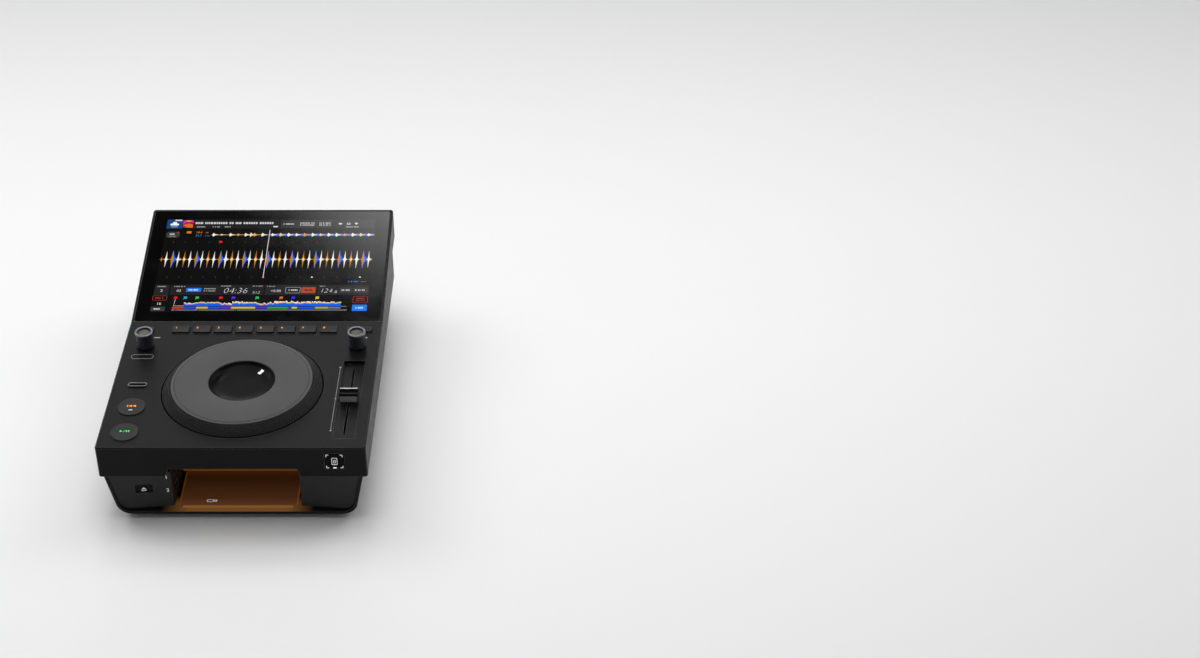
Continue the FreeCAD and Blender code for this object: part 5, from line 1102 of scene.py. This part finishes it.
def cap_strip(path, name, material):
    """Thin strip along the whole cap that follows a stretch of its section."""
    strip = stroke(path, 0.12, 0.5 - CAP_HALF, CAP_HALF - 0.5)
    strip = placed(strip, (TEMPO_X, TEMPO_Y, PANEL), (0, 1, 0), (0, 0, 1))
    add_piece(name, [strip], [material], "tempo_slider")


cap_plastic = moulded("cap_plastic", tint("0c0c0c"), 0.45, grain=0.25, edge=0.2)
add_piece("fader_cap", [fader_cap()], [cap_plastic], "tempo_slider", ["tempo_cap"])
# the inlaid line is not lit: its faint glow is painted light that brightens it
cap_strip(cap_section[11:19], "fader_line", ink("line_white", tint("dedede"), 0.1))
cap_strip([(-4.8, 6.9), (-5.44, 1.2)], "fader_grip", moulded("grip_grey", tint("8a8a8a"), 0.5, grain=0.5, depth=0.05, edge=0.1))


# Rear: a black steel panel with the phono sockets, the two square sockets, the mains inlet and the
# power button. Collars, contacts and pins are plated. The back is hidden in the photograph.

rear_paint = moulded("rear_paint", tint("1e1e1f"), 0.55, grain=0.6, depth=0.03, edge=0.2)
dress(rear_paint, "rear_panel")
dress(sensor_plastic, "audio_jacks")
REAR = 145.0
JACK_HEIGHT = 22.6
nickel = sheet_metal("nickel", (0.66, 0.66, 0.67), 0.22)
collar = [(4.16, 0.0), (5.0, 0.0), (5.0, 0.35), (4.28, 0.6), (4.22, 7.4), (3.9, 8.02), (3.1, 8.02), (3.1, 7.0),
          (4.16, 7.0)]
insert = [(1.62, 7.2), (3.12, 7.2), (3.12, 7.9), (1.9, 7.9), (1.62, 7.7)]
for name, x, colour in (("left", -93.0, "d8d8d2"), ("right", -78.0, "a3161c"), ("digital", -63.0, "c26a12")):
    at = (x, REAR, JACK_HEIGHT)
    add_piece(f"{name}_jack_collar", [lathe(collar, at, 64, ring=True, axis="Y")], [nickel], "case")
    add_piece(f"{name}_jack_insert", [lathe(insert, at, 48, ring=True, axis="Y")],
              [moulded(f"{name}_insert", tint(colour), 0.4, edge=0.1)], "case")
dress(shell_and_core("network_shell", (0.6, 0.6, 0.61), (0.015, 0.015, 0.016),
                     [((-44.6, 120, 15.9), (-31.4, 144.3, 26.9))]), "network_jack")
dress(shell_and_core("link_shell", (0.6, 0.6, 0.61), (0.03, 0.03, 0.032), [((-15.4, 120, 18.0), (-8.6, 142.2, 22.2))]),
      "link_jack")
dress(shell_and_core("inlet_body", (0.62, 0.6, 0.5), (0.014, 0.014, 0.015),
                     [((64, 143.2, 15), (96, 148, 41)), ((64, 120, 15), (71.5, 148, 41)), ((88.5, 120, 15), (96, 148, 41)),
                      ((64, 120, 15), (96, 148, 23.6)), ((64, 120, 33), (96, 148, 41)), ((64, 120, 15), (96, 127.2, 41))]),
      "power_inlet")
contacts = [placed(prism(box_outline(-0.3, 0, 0.3, 9), 0, 0.35), (x, 130.5, 26.3), (1, 0, 0), (0, 1, 0))
            for x in np.linspace(-41.5, -34.5, 8)]
add_piece("network_contacts", contacts, [gilt], "case")

power_cap = [(0.4, -5.4), (2.0, -5.4), (2.0, -2.4), (6.1, -2.4), (6.1, -1.4), (5.0, -1.4), (5.0, 2.9), (4.7, 3.35),
             (4.2, 3.5), (2.0, 3.3), (0.4, 3.25)]
power_box = [tuple(v * 1000 for v in corner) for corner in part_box("power_button")]
POWER = tuple((low + high) / 2 for low, high in zip(*power_box))
add_piece("power_cap", [lathe(power_cap, (POWER[0], REAR, POWER[2]), 72, axis="Y")], [button_plastic],
          "power_button_body", ["power_button"])
gap = math.radians(40)
arc = [(2.2 * math.sin(a), 2.2 * math.cos(a)) for a in np.linspace(gap, 2 * np.pi - gap, 28)]
add_piece("power_symbol", [placed(part, (POWER[0], REAR + 3.36, POWER[2]), (-1, 0, 0), (0, 0, 1))
                           for part in (stroke(arc, 0.45, -0.1, 0.05), stroke([(0, 0.9), (0, 2.9)], 0.45, -0.1, 0.12))],
          [white_ink], "power_button_body")


# Room: a pale floor under three large soft lamps, pale walls and two soft panels of light. The camera stands where the
# photograph was taken from.

def pale_floor():
    """Pale matt floor that keeps the soft shadow. Its colour is a little greyer far behind the player, a painted shade
    for the light falling off there.
    """
    material, tree, shader = start("floor_paint")
    away = add(tree, "ShaderNodeSeparateXYZ", {"Vector": place_of(tree)}).outputs["Y"]
    uneven = add(tree, "ShaderNodeMath", {0: away, 1: spread_over(tree, speckle(tree, 400, 2), -0.03, 0.03)},
                 operation="ADD")
    tree.links.new(ramp(tree, spread_over(tree, uneven.outputs["Value"], 0, 1, -0.5, 1.0),
                        (0.0, (0.97, 0.97, 0.97)), (0.40, (0.95, 0.95, 0.95)), (0.55, (0.92, 0.92, 0.92)), (0.72, (0.86, 0.86, 0.86)),
                        (1.0, (0.73, 0.73, 0.735))), shader.inputs["Base Color"])
    shader.inputs["Roughness"].default_value = 0.9
    shader.inputs["Specular IOR Level"].default_value = 0.1
    return material


mesh = bpy.data.meshes.new("floor")
mesh.from_pydata([(-6, -6, 0), (6, -6, 0), (6, 8, 0), (-6, 8, 0)], [], [(0, 1, 2, 3)])
mesh.materials.append(pale_floor())
floor = bpy.data.objects.new("floor", mesh)
bpy.context.scene.collection.objects.link(floor)


def soft_lamp(name, at, toward, size, power):
    """Square lamp that faces a point."""
    lamp = bpy.data.lights.new(name, "AREA")
    lamp.energy, lamp.size = power, size
    holder = bpy.data.objects.new(name, lamp)
    holder.location = at
    holder.rotation_euler = (Vector(toward) - Vector(at)).to_track_quat("-Z", "Y").to_euler()
    bpy.context.scene.collection.objects.link(holder)
    return holder


soft_lamp("overhead_lamp", (0.0, 0.15, 1.7), (0.0, 0.0, 0.0), 1.1, 13.9)
soft_lamp("left_rear_lamp", (-1.31, 0.92, 1.6), (0.0, 0.0, 0.1), 1.2, 15.3)
soft_lamp("right_rear_lamp", (1.31, 0.92, 1.6), (0.0, 0.0, 0.1), 1.2, 11.8)

# the walls are pale low down and dim higher up, with two soft panels of light behind the player
world = bpy.data.worlds.new("room")
world.use_nodes = True
bpy.context.scene.world = world
walls = world.node_tree
toward = add(walls, "ShaderNodeTexCoord", {}).outputs["Generated"]
rise = add(walls, "ShaderNodeSeparateXYZ", {"Vector": toward}).outputs["Z"]
room = ramp(walls, rise, (0.10, (0.9, 0.9, 0.9)), (0.30, (0.13, 0.13, 0.132)), (0.75, (0.07, 0.07, 0.071)))
for azimuth, elevation, full, gone, level in ((-6, 16, 8, 20.5, 2.6), (-4.1, 48.8, 4.0, 6.9, 9.0)):
    across, up = math.radians(azimuth), math.radians(elevation)
    middle = (math.sin(across) * math.cos(up), math.cos(across) * math.cos(up), math.sin(up))
    close = add(walls, "ShaderNodeVectorMath", {0: toward, 1: middle}, operation="DOT_PRODUCT").outputs["Value"]
    share = spread_over(walls, close, 0, 1, math.cos(math.radians(gone)), math.cos(math.radians(full)))
    room = add(walls, "ShaderNodeMix", {0: share, 6: room, 7: (level, level, level, 1)}, data_type="RGBA").outputs[2]
walls.links.new(room, walls.nodes["Background"].inputs["Color"])

camera = bpy.data.cameras.new("camera")
camera.lens, camera.sensor_width = 67.34, 36.0
view = bpy.data.objects.new("camera", camera)
view.location = (0.3423, -1.804, 1.3826)
view.rotation_euler = (math.radians(90 - 35.64), 0, 0)
bpy.context.scene.collection.objects.link(view)
bpy.context.scene.camera = view
bpy.context.scene.view_settings.view_transform = "Standard"
